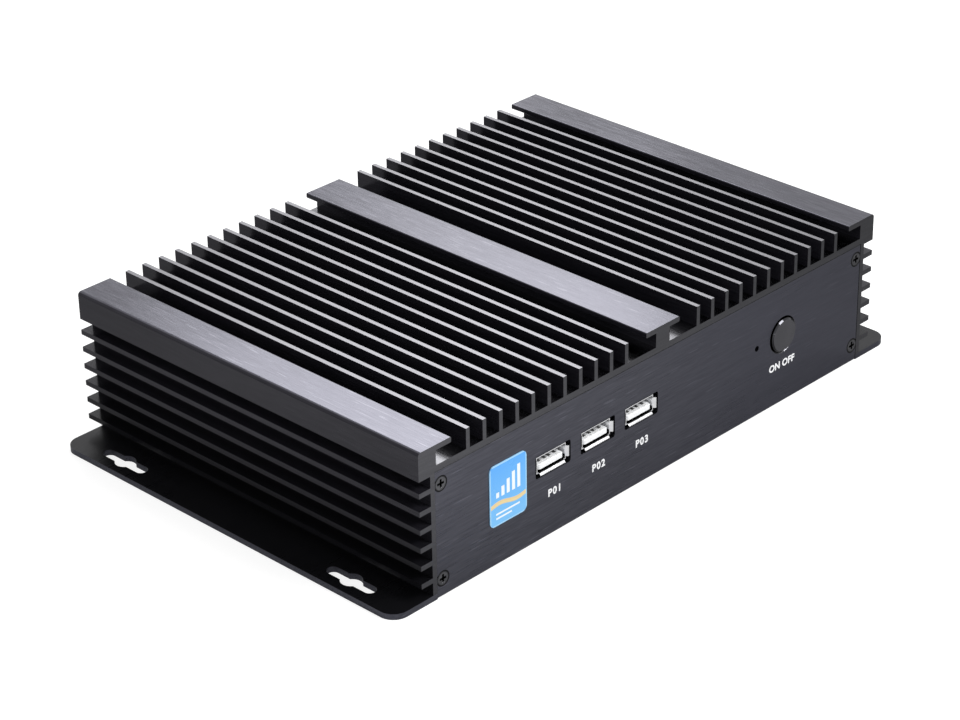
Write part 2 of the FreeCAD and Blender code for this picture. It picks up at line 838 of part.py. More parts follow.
# ---------------------------------------------------------------- mainboard
def mainboard():
    """The circuit board with its mounting holes and a notch in front for the switch and the lamp."""
    middle_z = board_under_z + board_thickness / 2
    board = rounded_box((0, 0, middle_z), (board_width, board_depth, board_thickness), board_corner, 2)
    holes = [rod(board_hole_radius, (x, y, board_under_z), (x, y, board_top_z))
             for x, y in spacer_points + block_screw_points]
    left = lamp_x - lamp_diameter / 2 - lamp_flange_rim - board_notch_gap
    right = button_x + switch_size / 2 + board_notch_gap
    reach = board_face + board_notch_gap
    notch = rounded_box(((left + right) / 2, front_y, middle_z),
                        (right - left, 2 * reach, 2 * board_thickness), board_notch_corner, 2)
    return cut_all(board, holes + [notch])


def board_spacers():
    """Hexagonal spacers screwed into the roof, with a threaded bore for the board screw."""
    spacers = []
    for x, y in spacer_points:
        bar = hexagon_rod(spacer_across_flats, (x, y, board_top_z), (0, 0, roof_z - board_top_z))
        stud = rod(spacer_stud_radius, (x, y, roof_z), (x, y, roof_z + spacer_stud_length))
        bore = rod(spacer_thread_radius, (x, y, board_top_z), (x, y, board_top_z + spacer_bore_depth))
        spacers.append(join(bar, stud).cut(bore))
    return spacers


def board_screws():
    """Pan-head screws from below through the board into the spacers."""
    screws = []
    for x, y in spacer_points:
        screw = pan_screw(board_screw_head_radius, board_screw_head_height, board_screw_radius,
                          board_screw_length)
        screw.translate(Vector(x, y, board_under_z))
        screws.append(screw)
    return screws


def processor():
    """The processor package: a thin substrate with two bare dies."""
    low = board_top_z
    substrate = middle_box((processor_x, processor_y, low + processor_substrate / 2),
                           (processor_width, processor_depth, processor_substrate))
    die_z = low + processor_substrate + processor_die / 2
    total = main_die_width + die_gap + second_die_width
    left = processor_x - total / 2
    main = middle_box((left + main_die_width / 2, processor_y, die_z),
                      (main_die_width, die_depth, processor_die))
    second = middle_box((left + total - second_die_width / 2, processor_y, die_z),
                        (second_die_width, die_depth, processor_die))
    return join(substrate, main, second)


def processor_pad():
    """The thin pad between the dies and the block."""
    total = main_die_width + die_gap + second_die_width
    z_span = (processor_top_z, block_bottom_z)
    middle_z = sum(z_span) / 2
    return middle_box((processor_x, processor_y, middle_z), (total, die_depth, pad_thickness))


def heat_block():
    """The solid aluminium block that carries heat from the processor to the roof."""
    height = block_top_z - block_bottom_z
    centre = (processor_x, processor_y, block_bottom_z + height / 2)
    block = rounded_box(centre, (block_width, block_depth, height), block_corner, 2)
    legs, bores = [], []
    for x, y in block_screw_points:
        legs.append(rod(board_screw_head_radius, (x, y, board_top_z), (x, y, block_bottom_z)))
        top = block_bottom_z + block_screw_bite + thread_end_gap
        bores.append(rod(block_screw_radius + screw_clearance, (x, y, board_top_z), (x, y, top)))
    return cut_all(join(block, *legs), bores)


def roof_pad():
    """The thin pad between the block and the roof."""
    centre = (processor_x, processor_y, block_top_z + pad_thickness / 2)
    return middle_box(centre, (block_width, block_depth, pad_thickness))


def heat_block_screws():
    """Pan-head screws from below through the board into the block."""
    screws = []
    length = block_bottom_z + block_screw_bite - board_under_z
    for x, y in block_screw_points:
        screw = pan_screw(board_screw_head_radius, board_screw_head_height, block_screw_radius, length)
        screw.translate(Vector(x, y, board_under_z))
        screws.append(screw)
    return screws


def memory_socket():
    """The socket bar with its two latch arms, slotted for the module's edge."""
    low = board_under_z - memory_socket_height
    edge_y = memory_y + memory_depth / 2
    half = memory_width / 2
    bar = span_box((memory_x - half - memory_socket_arm, memory_x + half + memory_socket_arm),
                   (edge_y - memory_edge_grip, edge_y - memory_edge_grip + memory_socket_bar),
                   (low, board_under_z))
    arms = []
    for side in (-1, 1):
        inner = memory_x + side * (half + screw_clearance)
        outer = memory_x + side * (half + memory_socket_arm)
        arms.append(span_box(sorted((inner, outer)), (edge_y - memory_depth, edge_y - memory_edge_grip),
                             (low, board_under_z)))
    middle_z = board_under_z - memory_drop
    slot_height = memory_thickness + 2 * screw_clearance
    slot = middle_box((memory_x, edge_y - memory_edge_grip / 2, middle_z),
                      (memory_width + 2 * screw_clearance, memory_edge_grip, slot_height))
    return join(bar, *arms).cut(slot)


def memory_module():
    """The memory module: a small board with chips on its lower face."""
    middle_z = board_under_z - memory_drop
    module = middle_box((memory_x, memory_y, middle_z),
                        (memory_width - screw_clearance, memory_depth, memory_thickness))
    pitch = memory_width / memory_chip_count
    chips = []
    for number in range(memory_chip_count):
        x = memory_x + (number - (memory_chip_count - 1) / 2) * pitch
        z = middle_z - (memory_thickness + memory_chip_height) / 2
        size = (memory_chip_width, memory_chip_depth, memory_chip_height)
        chips.append(middle_box((x, memory_y, z), size))
    return join(module, *chips)


def ssd_socket():
    """The card socket, slotted for the storage card's edge."""
    edge_y = ssd_y + ssd_length / 2
    y_span = (edge_y - ssd_edge_grip, edge_y - ssd_edge_grip + ssd_socket_depth)
    block = span_box((ssd_x - ssd_width / 2, ssd_x + ssd_width / 2), y_span,
                     (board_under_z - ssd_socket_height, board_under_z))
    slot = middle_box((ssd_x, edge_y - ssd_edge_grip / 2, board_under_z - ssd_drop),
                      (ssd_width + screw_clearance, ssd_edge_grip, ssd_thickness + 2 * screw_clearance))
    return block.cut(slot)


def ssd_post_points():
    """The two screw places at the storage card's free end."""
    y = ssd_y - ssd_length / 2 + ssd_post_inset
    reach = ssd_width / 2 - ssd_post_inset
    return [(ssd_x - reach, y), (ssd_x + reach, y)]


def ssd_module():
    """The storage card: a small board with two chips and two screw holes."""
    middle_z = board_under_z - ssd_drop
    card = middle_box((ssd_x, ssd_y, middle_z), (ssd_width, ssd_length, ssd_thickness))
    chips = []
    for side in (-1, 1):
        z = middle_z - (ssd_thickness + ssd_chip_height) / 2
        chips.append(middle_box((ssd_x, ssd_y + side * ssd_chip_spacing / 2, z),
                                (ssd_chip_size, ssd_chip_size, ssd_chip_height)))
    holes = [rod(ssd_screw_radius + screw_clearance, (x, y, middle_z - ssd_thickness),
                 (x, y, middle_z + ssd_thickness)) for x, y in ssd_post_points()]
    return cut_all(join(card, *chips), holes)


def ssd_posts():
    """Two short threaded posts under the mainboard that carry the card's free end."""
    top = board_under_z
    low = board_under_z - ssd_drop + ssd_thickness / 2
    posts = []
    for x, y in ssd_post_points():
        post = rod(ssd_post_radius, (x, y, low), (x, y, top))
        posts.append(post.cut(rod(ssd_screw_radius + screw_clearance, (x, y, low), (x, y, top))))
    return posts


def ssd_screws():
    """The two small screws that hold the card on its posts."""
    seat = board_under_z - ssd_drop - ssd_thickness / 2
    screws = []
    for x, y in ssd_post_points():
        screw = pan_screw(ssd_screw_head_radius, ssd_screw_head_height, ssd_screw_radius, ssd_drop)
        screw.translate(Vector(x, y, seat))
        screws.append(screw)
    return screws


def cell_holder():
    """The round holder of the clock battery, open below, with a window in its rim."""
    top = board_under_z
    low = top - cell_seat - cell_thickness
    outer = cell_radius + cell_clearance + cell_holder_wall
    cup = rod(outer, (cell_x, cell_y, low), (cell_x, cell_y, top))
    room = rod(cell_radius + cell_clearance, (cell_x, cell_y, low), (cell_x, cell_y, top - cell_seat))
    window = span_box((cell_x - cell_radius / 2, cell_x + cell_radius / 2),
                      (cell_y - 2 * outer, cell_y), (low, top - cell_seat))
    return cut_all(cup, [room, window])


def coin_cell():
    """The clock battery: a flat can with a smaller cap."""
    top = board_under_z - cell_seat
    can = rod(cell_radius, (cell_x, cell_y, top - cell_thickness), (cell_x, cell_y, top))
    rims = [edge for edge in can.Edges if edge.Closed]
    return can.makeChamfer(edge_break, rims)


def board_chips():
    """Flat controller chips under the board."""
    edge = board_depth / 2
    places = [(x, edge - inset, size) for x, inset, size in rear_chips]
    places += [(x, inset - edge, size) for x, inset, size in front_chips]
    return [middle_box((x, y, board_under_z - chip_height / 2), (size, size, chip_height))
            for x, y, size in places]


def board_coils():
    """Square power coils on top of the board, in a row beside the processor."""
    coils = []
    for number in range(coil_count):
        y = processor_y + (number - (coil_count - 1) / 2) * coil_pitch
        coils.append(middle_box((coil_row_x, y, board_top_z + coil_height / 2),
                                (coil_size, coil_size, coil_height)))
    return coils


def board_capacitors():
    """Round capacitors on top of the board, in a row beside the coils."""
    cans = []
    for number in range(capacitor_count):
        y = processor_y + (number - (capacitor_count - 1) / 2) * capacitor_pitch
        cans.append(rod(capacitor_radius, (capacitor_row_x, y, board_top_z),
                        (capacitor_row_x, y, board_top_z + capacitor_height)))
    return cans


# ---------------------------------------------------------------- rear sockets
def d_prism(width, height, depth, start=0.0):
    """A rounded D shape across XZ, wide edge up, carried to +Y from y=start."""
    half, low = width / 2, width / 2 - dsub_lean
    corners = [(-half, start, height / 2), (half, start, height / 2),
               (low, start, -height / 2), (-low, start, -height / 2)]
    solid = prism(corners, (0, depth, 0))
    return solid.makeFillet(dsub_corner, edges_along(solid, 1))


def dsub_flange():
    """The steel flange of a D-shaped socket, behind the panel, with its screw holes."""
    middle_y = panel_thickness + dsub_flange_thickness / 2
    flange = middle_box((0, middle_y, 0), (dsub_flange_width, dsub_flange_thickness, dsub_flange_height))
    holes = [rod(jack_screw_stud_radius + screw_clearance, (x, 0, 0), (x, 2 * panel_thickness, 0))
             for x in (-dsub_screw_spacing / 2, dsub_screw_spacing / 2)]
    return cut_all(flange, holes)


def dsub_shell():
    """The steel front of a D-shaped socket: flange and drawn D-shaped nose, open through."""
    nose_start = panel_thickness - dsub_nose
    nose = d_prism(dsub_width, dsub_height, dsub_nose, nose_start)
    shell = join(dsub_flange(), nose)
    room = d_prism(dsub_width - 2 * dsub_wall, dsub_height - 2 * dsub_wall,
                   dsub_nose + dsub_flange_thickness, nose_start)
    return shell.cut(room)


def dsub_body():
    """The plastic block behind a D-shaped socket's flange."""
    start = panel_thickness + dsub_flange_thickness
    size = (dsub_screw_spacing - 2 * (jack_screw_stud_radius + 2 * screw_clearance),
            dsub_body_depth, dsub_flange_height)
    return middle_box((0, start + dsub_body_depth / 2, 0), size)


def serial_pin_points():
    """Nine pins in rows of five and four."""
    points = []
    for row, count in ((1, 5), (-1, 4)):
        for number in range(count):
            points.append(((number - (count - 1) / 2) * dsub_pin_pitch, row * dsub_pin_rows_gap / 2))
    return points


def serial_pins():
    """The serial socket's nine pins, from their block to near the nose's mouth."""
    start = panel_thickness - dsub_nose + dsub_pin_recess
    end = panel_thickness + dsub_flange_thickness
    return [rod(dsub_pin_radius, (x, start, z), (x, end, z)) for x, z in serial_pin_points()]


def display_insert():
    """The display socket's moulded face, which fills its nose, with fifteen pin holes."""
    inset = dsub_wall + data_insert_clearance
    start = panel_thickness - dsub_nose + edge_break
    end = panel_thickness + dsub_flange_thickness
    face = d_prism(dsub_width - 2 * inset, dsub_height - 2 * inset, end - start, start)
    holes = []
    for row in (-1, 0, 1):
        for number in (-2, -1, 0, 1, 2):
            x = number * display_hole_pitch - row * display_hole_pitch / 4
            z = row * display_row_gap
            holes.append(rod(display_hole_radius, (x, start, z), (x, panel_thickness, z)))
    return cut_all(join(face, dsub_body()), holes)


def jack_screws():
    """A hexagonal jack screw on each side of a D-shaped socket, outside the panel."""
    screws = []
    for x in (-dsub_screw_spacing / 2, dsub_screw_spacing / 2):
        head = hexagon_rod(jack_screw_across_flats, (x, -jack_screw_length, 0), (0, jack_screw_length, 0))
        stud = rod(jack_screw_stud_radius, (x, 0, 0), (x, panel_thickness + dsub_flange_thickness, 0))
        bore = rod(jack_screw_bore_radius, (x, -jack_screw_length, 0), (x, 0, 0))
        screws.append(join(head, stud).cut(bore))
    return screws


def video_outline(inset, depth, start=0.0):
    """The wide mouth with two cut lower corners, carried to +Y."""
    half = video_width / 2 - inset
    top = video_height / 2 - inset
    cut = video_corner_cut
    corners = [(-half, start, top), (half, start, top), (half, start, cut - top), (half - cut, start, -top),
               (cut - half, start, -top), (-half, start, cut - top)]
    return prism(corners, (0, depth, 0))


def video_shell():
    """The steel shell of the display port: an open tube with a solid back wall."""
    room = video_outline(video_wall, video_depth - video_wall)
    return video_outline(0, video_depth).cut(room)


def video_insert():
    """The moulding in the display port: a back block with a thin tongue."""
    back_depth = data_insert_depth
    start = video_depth - video_wall - back_depth
    block = video_outline(video_wall + data_insert_clearance, back_depth, start)
    tongue = span_box((-video_tongue_width / 2, video_tongue_width / 2), (data_tongue_recess, start),
                      (-video_tongue_thickness / 2, video_tongue_thickness / 2))
    return join(block, tongue)


def lan_shell():
    """The steel shield of a network jack: a folded box, open in front."""
    shield = span_box((-lan_width / 2, lan_width / 2), (0, lan_depth), (-lan_height / 2, lan_height / 2))
    room_x = lan_width / 2 - lan_shield
    room_z = lan_height / 2 - lan_shield
    return shield.cut(span_box((-room_x, room_x), (0, lan_depth - lan_shield), (-room_z, room_z)))


def lan_cavity_z():
    """The height span of the plug's room, under the latch step."""
    top = lan_height / 2 - lan_shield - lan_latch_height - lan_brow
    return (top - lan_cavity_height, top)


def lan_insert():
    """The moulding of a network jack: plug room, latch step and two lamp windows."""
    x = lan_width / 2 - lan_shield - data_insert_clearance
    z = lan_height / 2 - lan_shield - data_insert_clearance
    block = span_box((-x, x), (edge_break, lan_depth - lan_shield - data_insert_clearance), (-z, z))
    low, top = lan_cavity_z()
    cavity = span_box((-lan_cavity_width / 2, lan_cavity_width / 2), (0, lan_cavity_depth), (low, top))
    latch = span_box((-lan_latch_width / 2, lan_latch_width / 2), (0, lan_cavity_depth),
                     (top, top + lan_latch_height))
    return cut_all(block, [cavity, latch] + lan_lamp_blocks())


def lan_lamp_blocks():
    """The two indicator windows in the lower corners of a network jack."""
    x = lan_width / 2 - lan_shield - data_insert_clearance
    z = lan_height / 2 - lan_shield - data_insert_clearance
    z_span = (-z, -z + lan_lamp_height)
    y_span = (edge_break, edge_break + lan_lamp_depth)
    return [span_box(sorted((side * x, side * (x - lan_lamp_width))), y_span, z_span) for side in (-1, 1)]


def lan_contacts():
    """Eight sloping contact springs in the plug's room."""
    low, top = lan_cavity_z()
    springs = []
    rise = (top - low) / 2
    for number in range(lan_contact_count):
        x = (number - (lan_contact_count - 1) / 2) * lan_contact_pitch - lan_contact_width / 2
        start = lan_cavity_depth - lan_contact_depth
        thick = lan_contact_width
        outline = [(x, start, low), (x, start + thick, low), (x, lan_cavity_depth, low + rise),
                   (x, lan_cavity_depth, low + rise + thick)]
        springs.append(prism(outline, (lan_contact_width, 0, 0)))
    return springs


def audio_jack():
    """A small socket with a round nose through the panel and a plug bore."""
    start = panel_thickness
    mouth = start - audio_nose_length
    floor = start + audio_depth - audio_back_wall
    body = middle_box((0, start + audio_depth / 2, 0), (audio_width, audio_depth, audio_height))
    nose = rod(audio_nose_radius - screw_clearance, (0, mouth, 0), (0, start, 0))
    bore = rod(audio_bore_radius, (0, mouth, 0), (0, floor, 0))
    return join(body, nose).cut(bore)


def power_jack():
    """The power inlet's block with its round bore."""
    size = (power_jack_width, power_jack_depth, power_jack_height)
    body = middle_box((0, power_jack_depth / 2, 0), size)
    return body.cut(rod(power_jack_bore_radius, (0, 0, 0), (0, power_jack_bore_depth, 0)))


def power_jack_pin():
    """The power inlet's centre pin with a tapered tip."""
    tip_radius = power_jack_pin_radius / 2
    shoulder = power_jack_pin_recess + power_jack_pin_radius - tip_radius
    tip = cone(tip_radius, power_jack_pin_radius, (0, power_jack_pin_recess, 0), (0, shoulder, 0))
    return join(tip, rod(power_jack_pin_radius, (0, shoulder, 0), (0, power_jack_bore_depth, 0)))


# The sockets from the +X end to the -X end: kind, width and height under the mainboard.
rear_sockets = [
    ("power", power_jack_width, power_jack_height),
    ("serial", dsub_flange_width, dsub_flange_height),
    ("display", dsub_flange_width, dsub_flange_height),
    ("video", video_width, video_height),
    ("lan", lan_width, lan_height),
    ("lan", lan_width, lan_height),
    ("stack", stack_width, stack_height),
    ("stack", stack_width, stack_height),
    ("audio", audio_width, audio_height),
    ("audio", audio_width, audio_height),
]


def rear_places():
    """Each rear socket's kind and centre: one row with equal gaps, hung from the mainboard."""
    edge = board_width / 2 - port_row_inset
    spare = 2 * edge - sum(width for _, width, _ in rear_sockets)
    gap = spare / (len(rear_sockets) - 1)
    places = []
    for kind, width, height in rear_sockets:
        places.append((kind, edge - width / 2, board_under_z - height / 2))
        edge -= width + gap
    return places


def places_of(kind):
    """The centres of one kind of rear socket."""
    return [(x, z) for name, x, z in rear_places() if name == kind]


def rear_panel():
    """The rear panel with a cut-out for each socket."""
    cuts = []
    for kind, x, z in rear_places():
        here = (-x, z)
        if kind in ("serial", "display"):
            hole = d_prism(dsub_width + 2 * cutout_margin, dsub_height + 2 * cutout_margin,
                           3 * panel_thickness, -panel_thickness)
            hole.translate(Vector(-x, 0, z))
            cuts.append(hole)
            for side in (-1, 1):
                cuts.append(round_hole(side * dsub_screw_spacing / 2 - x, z,
                                       jack_screw_stud_radius + screw_clearance))
        elif kind == "audio":
            cuts.append(round_hole(-x, z, audio_nose_radius))
        elif kind == "power":
            cuts.append(through(here, (power_jack_width + 2 * cutout_margin,
                                       power_jack_height + 2 * cutout_margin)))
        elif kind == "video":
            cuts.append(through(here, (video_width + 2 * cutout_margin, video_height + 2 * cutout_margin)))
        elif kind == "lan":
            cuts.append(through(here, (lan_width + 2 * cutout_margin, lan_height + 2 * cutout_margin)))
        else:
            lip = 2 * (data_lip_rise + cutout_margin)
            cuts.append(through(here, (stack_width + lip, stack_height + lip)))
    return at_rear(cut_all(blank_panel(), cuts), 0, 0)


# ---------------------------------------------------------------- writing the nodes
def write_casing():
    """The extrusion, the plates, their screws and the badge."""
    write("finned_housing", finned_housing())
    write("base_plate", base_plate())
    write("base_plate_screws", *base_plate_screws())
    write("front_panel", front_panel())
    write("front_panel_screws", *panel_screws(at_front))
    write("rear_panel", rear_panel())
    write("rear_panel_screws", *panel_screws(at_rear))
    write("badge_sticker", badge_sticker())


def write_front():
    """The three front sockets, the button with its switch, and the lamp."""
    strips = []
    for number, x in enumerate(data_row_x, start=1):
        write(f"front_data_shell_{number}", at_front(data_shell(), x, data_axis_height, port_recess))
        write(f"front_data_insert_{number}", at_front(data_insert(), x, data_axis_height, port_recess))
        for strip in data_contacts(0, data_block_front):
            strips.append(at_front(strip, x, data_axis_height, port_recess))
    write("front_data_contacts", *strips)
    write("power_button", power_button())
    write("switch_plunger", switch_plunger())
    write("switch_body", switch_body())
    write("button_board", join(button_board(), button_board_header()))
    write("status_lamp", status_lamp())


def write_inside():
    """The mainboard, its fasteners, the heat path and the plug-in pieces."""
    write("mainboard", join(mainboard(), *ssd_posts()))
    write("board_spacers", *board_spacers())
    write("board_screws", *board_screws())
    write("processor", processor())
    write("heat_block", heat_block())
    write("heat_block_screws", *heat_block_screws())
    write("thermal_pads", processor_pad(), roof_pad())
    write("memory_socket", memory_socket())
    write("memory_module", memory_module())
    write("ssd_socket", ssd_socket())
    write("ssd_module", ssd_module())
    write("ssd_screws", *ssd_screws())
    write("cell_holder", cell_holder())
    write("coin_cell", coin_cell())
    write("board_chips", *board_chips())
    write("board_coils", *board_coils())
    write("board_capacitors", *board_capacitors())


def write_rear():
    """The rear sockets, from the power inlet to the sound sockets."""
    (x, z), = places_of("power")
    write("power_jack", at_rear(power_jack(), x, z, port_recess))
    write("power_jack_pin", at_rear(power_jack_pin(), x, z, port_recess))
    (x, z), = places_of("serial")
    write("serial_shell", at_rear(dsub_shell(), x, z))
    write("serial_block", at_rear(dsub_body(), x, z))
    write("serial_pins", *[at_rear(pin, x, z) for pin in serial_pins()])
    (x, z), = places_of("display")
    write("display_shell", at_rear(dsub_shell(), x, z))
    write("display_insert", at_rear(display_insert(), x, z))
    screws = []
    for x, z in places_of("serial") + places_of("display"):
        screws += [at_rear(screw, x, z) for screw in jack_screws()]
    write("jack_screws", *screws)
    (x, z), = places_of("video")
    write("video_shell", at_rear(video_shell(), x, z, port_recess))
    write("video_insert", at_rear(video_insert(), x, z, port_recess))
    springs, lamps = [], []
    for number, (x, z) in enumerate(places_of("lan"), start=1):
        write(f"lan_shell_{number}", at_rear(lan_shell(), x, z, port_recess))
        write(f"lan_insert_{number}", at_rear(lan_insert(), x, z, port_recess))
        springs += [at_rear(spring, x, z, port_recess) for spring in lan_contacts()]
        lamps += [at_rear(lamp, x, z, port_recess) for lamp in lan_lamp_blocks()]
    write("lan_contacts", *springs)
    write("lan_lamps", *lamps)
    strips = []
    block_front = data_block_front + data_insert_clearance
    for number, (x, z) in enumerate(places_of("stack"), start=1):
        write(f"rear_data_shell_{number}", at_rear(data_stack_shell(), x, z, port_recess))
        write(f"rear_data_insert_{number}", at_rear(data_stack_insert(), x, z, port_recess))
        for offset in (-stack_offset, stack_offset):
            strips += [at_rear(strip, x, z, port_recess) for strip in data_contacts(offset, block_front)]
    write("rear_data_contacts", *strips)
    write("audio_jacks", *[at_rear(audio_jack(), x, z) for x, z in places_of("audio")])


os.makedirs("parts", exist_ok=True)
write_casing()
write_front()
write_inside()
write_rear()
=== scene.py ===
import json
import math

import bpy
import numpy as np
from mathutils import Matrix, Vector


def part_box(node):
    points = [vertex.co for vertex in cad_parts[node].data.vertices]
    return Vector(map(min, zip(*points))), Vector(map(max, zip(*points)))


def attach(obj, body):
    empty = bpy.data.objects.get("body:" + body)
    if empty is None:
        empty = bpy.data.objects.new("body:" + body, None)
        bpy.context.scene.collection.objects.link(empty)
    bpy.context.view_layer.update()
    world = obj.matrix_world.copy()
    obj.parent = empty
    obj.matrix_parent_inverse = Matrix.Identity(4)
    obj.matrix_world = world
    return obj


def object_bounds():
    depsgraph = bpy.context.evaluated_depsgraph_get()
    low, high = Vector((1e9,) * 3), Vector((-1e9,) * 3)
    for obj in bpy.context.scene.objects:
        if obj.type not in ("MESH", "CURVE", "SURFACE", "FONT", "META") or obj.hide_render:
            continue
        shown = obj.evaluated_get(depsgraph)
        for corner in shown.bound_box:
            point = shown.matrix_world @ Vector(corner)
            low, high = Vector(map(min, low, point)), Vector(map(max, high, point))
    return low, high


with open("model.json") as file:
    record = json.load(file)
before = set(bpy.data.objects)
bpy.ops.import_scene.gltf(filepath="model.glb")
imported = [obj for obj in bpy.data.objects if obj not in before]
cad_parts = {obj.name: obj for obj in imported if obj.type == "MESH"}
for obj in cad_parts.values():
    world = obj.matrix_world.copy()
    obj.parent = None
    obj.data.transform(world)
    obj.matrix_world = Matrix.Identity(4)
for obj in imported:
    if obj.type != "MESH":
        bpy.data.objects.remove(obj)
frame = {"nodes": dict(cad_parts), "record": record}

# A fanless industrial computer: the finish of its anodised casing, its printed front panel, its
# sockets, its badge and its power button, dressed over the construction model.  Lengths are metres.

CAD_BOUNDS = [[float(v) for v in corner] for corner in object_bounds()]
MM = 0.001


# ------------------------------------------------------------------ shader building blocks
class Wiring:
    """Short calls that add nodes to one tree and join them."""

    def __init__(self, tree):
        self.tree = tree

    def add(self, kind, settings=None, **inputs):
        """One node; settings are its own properties, inputs are values or sockets by input name."""
        node = self.tree.nodes.new("ShaderNode" + kind)
        for key, value in (settings or {}).items():
            setattr(node, key, value)
        for key, value in inputs.items():
            self.feed(node, key.replace("_", " "), value)
        return node

    def feed(self, node, key, value):
        """Give one input a constant, or join it to an output socket."""
        socket = node.inputs[int(key)] if key.isdigit() else node.inputs[key]
        if isinstance(value, bpy.types.NodeSocket):
            self.tree.links.new(value, socket)
        else:
            socket.default_value = value

    def math(self, operation, *terms, clamp=False):
        """One arithmetic node on one to three terms."""
        node = self.tree.nodes.new("ShaderNodeMath")
        node.operation = operation
        node.use_clamp = clamp
        for number, term in enumerate(terms):
            self.feed(node, str(number), term)
        return node.outputs[0]

    def ramp(self, value, low, high):
        """0 below low, 1 above high, smooth between."""
        node = self.add("MapRange", {"interpolation_type": "SMOOTHSTEP"})
        self.feed(node, "Value", value)
        self.feed(node, "From Min", low)
        self.feed(node, "From Max", high)
        return node.outputs["Result"]

    def blend(self, share, first, second):
        """Two colours mixed by a share."""
        node = self.tree.nodes.new("ShaderNodeMix")
        node.data_type = "RGBA"
        for key, value in ((0, share), (6, first), (7, second)):
            self.feed(node, str(key), value)
        return node.outputs[2]

    def vary(self, share, low, high):
        """A number that runs from low to high with a share."""
        return self.math("MULTIPLY_ADD", share, high - low, low)

    def place(self):
        """The point's own coordinates in its object, as separate X, Y and Z outputs."""
        return self.add("SeparateXYZ", Vector=self.add("TexCoord").outputs["Object"]).outputs


def new_material(name):
    """An empty node material and the wiring of its tree."""
    material = bpy.data.materials.new(name)
    material.use_nodes = True
    material.node_tree.nodes.clear()
    return material, Wiring(material.node_tree)


def colour(red, green=None, blue=None):
    """An opaque colour; one number makes a grey."""
    if green is None:
        green = blue = red
    return (red, green, blue, 1.0)


def group(name, inputs, outputs, build):
    """A shared effect as a node group with named sockets, built once."""
    tree = bpy.data.node_groups.new(name, "ShaderNodeTree")
    for label, kind, default in inputs:
        socket = tree.interface.new_socket(name=label, in_out="INPUT", socket_type=kind)
        socket.default_value = default
    for label, kind in outputs:
        tree.interface.new_socket(name=label, in_out="OUTPUT", socket_type=kind)
    entry = tree.nodes.new("NodeGroupInput")
    leave = tree.nodes.new("NodeGroupOutput")
    build(Wiring(tree), entry.outputs, leave)
    return tree


def build_drawn_lines(wiring, given, leave):
    """Lines drawn along one direction: noises whose coordinates are stretched by Stretch.

    Streak is the even grain of broad and fine lines, Scratch the few deep short ones.
    """
    place = wiring.add("TexCoord").outputs["Object"]
    stretched = wiring.add("VectorMath", {"operation": "MULTIPLY"})
    wiring.feed(stretched, "0", place)
    wiring.feed(stretched, "1", given["Stretch"])
    vector = stretched.outputs[0]
    broad = wiring.add("TexNoise", Vector=vector, Scale=0.4, Detail=2.0, Roughness=0.5)
    fine = wiring.add("TexNoise", Vector=vector, Scale=1.0, Detail=4.0, Roughness=0.65)
    deep = wiring.add("TexNoise", Vector=vector, Scale=0.9, Detail=1.0, Roughness=0.4, Distortion=0.2)
    streak = wiring.math("ADD", wiring.math("MULTIPLY", broad.outputs["Fac"], 0.3),
                         wiring.math("MULTIPLY", fine.outputs["Fac"], 0.7))
    wiring.feed(leave, "Streak", wiring.ramp(streak, 0.36, 0.64))
    wiring.feed(leave, "Fine", fine.outputs["Fac"])
    wiring.feed(leave, "Scratch", wiring.ramp(deep.outputs["Fac"], 0.64, 0.76))


def build_face_masks(wiring, given, leave):
    """Which way a face looks, in the piece's own frame: up, partly up, or out of either end."""
    normal = wiring.add("TexCoord").outputs["Normal"]
    split = wiring.add("SeparateXYZ", Vector=normal)
    up = split.outputs["Z"]
    along = wiring.math("ABSOLUTE", split.outputs["Y"])
    wiring.feed(leave, "Up", wiring.ramp(up, 0.8, 0.97))
    wiring.feed(leave, "Sloping", wiring.ramp(up, 0.3, 0.55))
    wiring.feed(leave, "End", wiring.ramp(along, 0.8, 0.97))


def build_handling(wiring, given, leave):
    """Faint soft patches of dust and finger marks, from one low noise and one speckle."""
    place = wiring.add("TexCoord").outputs["Object"]
    cloud = wiring.add("TexNoise", Vector=place, Scale=given["Patch scale"], Detail=3.0, Roughness=0.55)
    speck = wiring.add("TexNoise", Vector=place, Scale=2600.0, Detail=2.0, Roughness=0.7)
    wiring.feed(leave, "Patch", wiring.ramp(cloud.outputs["Fac"], 0.38, 0.66))
    wiring.feed(leave, "Speck", speck.outputs["Fac"])


def build_axis_distance(wiring, given, leave):
    """Distance in X and Z from the nearest of four axes parallel to Y, and the lesser of the two offsets.

    The axes stand at Across plus or minus Half across, and Height plus or minus Half height; with
    both halves zero they are one.
    """
    place = wiring.place()
    offsets = []
    squares = []
    for axis, centre, half in (("X", "Across", "Half across"), ("Z", "Height", "Half height")):
        offset = wiring.math("ABSOLUTE", wiring.math("SUBTRACT", place[axis], given[centre]))
        offset = wiring.math("SUBTRACT", offset, given[half])
        offsets.append(wiring.math("ABSOLUTE", offset))
        squares.append(wiring.math("MULTIPLY", offset, offset))
    wiring.feed(leave, "Distance", wiring.math("SQRT", wiring.math("ADD", *squares)))
    wiring.feed(leave, "Lesser", wiring.math("MINIMUM", *offsets))


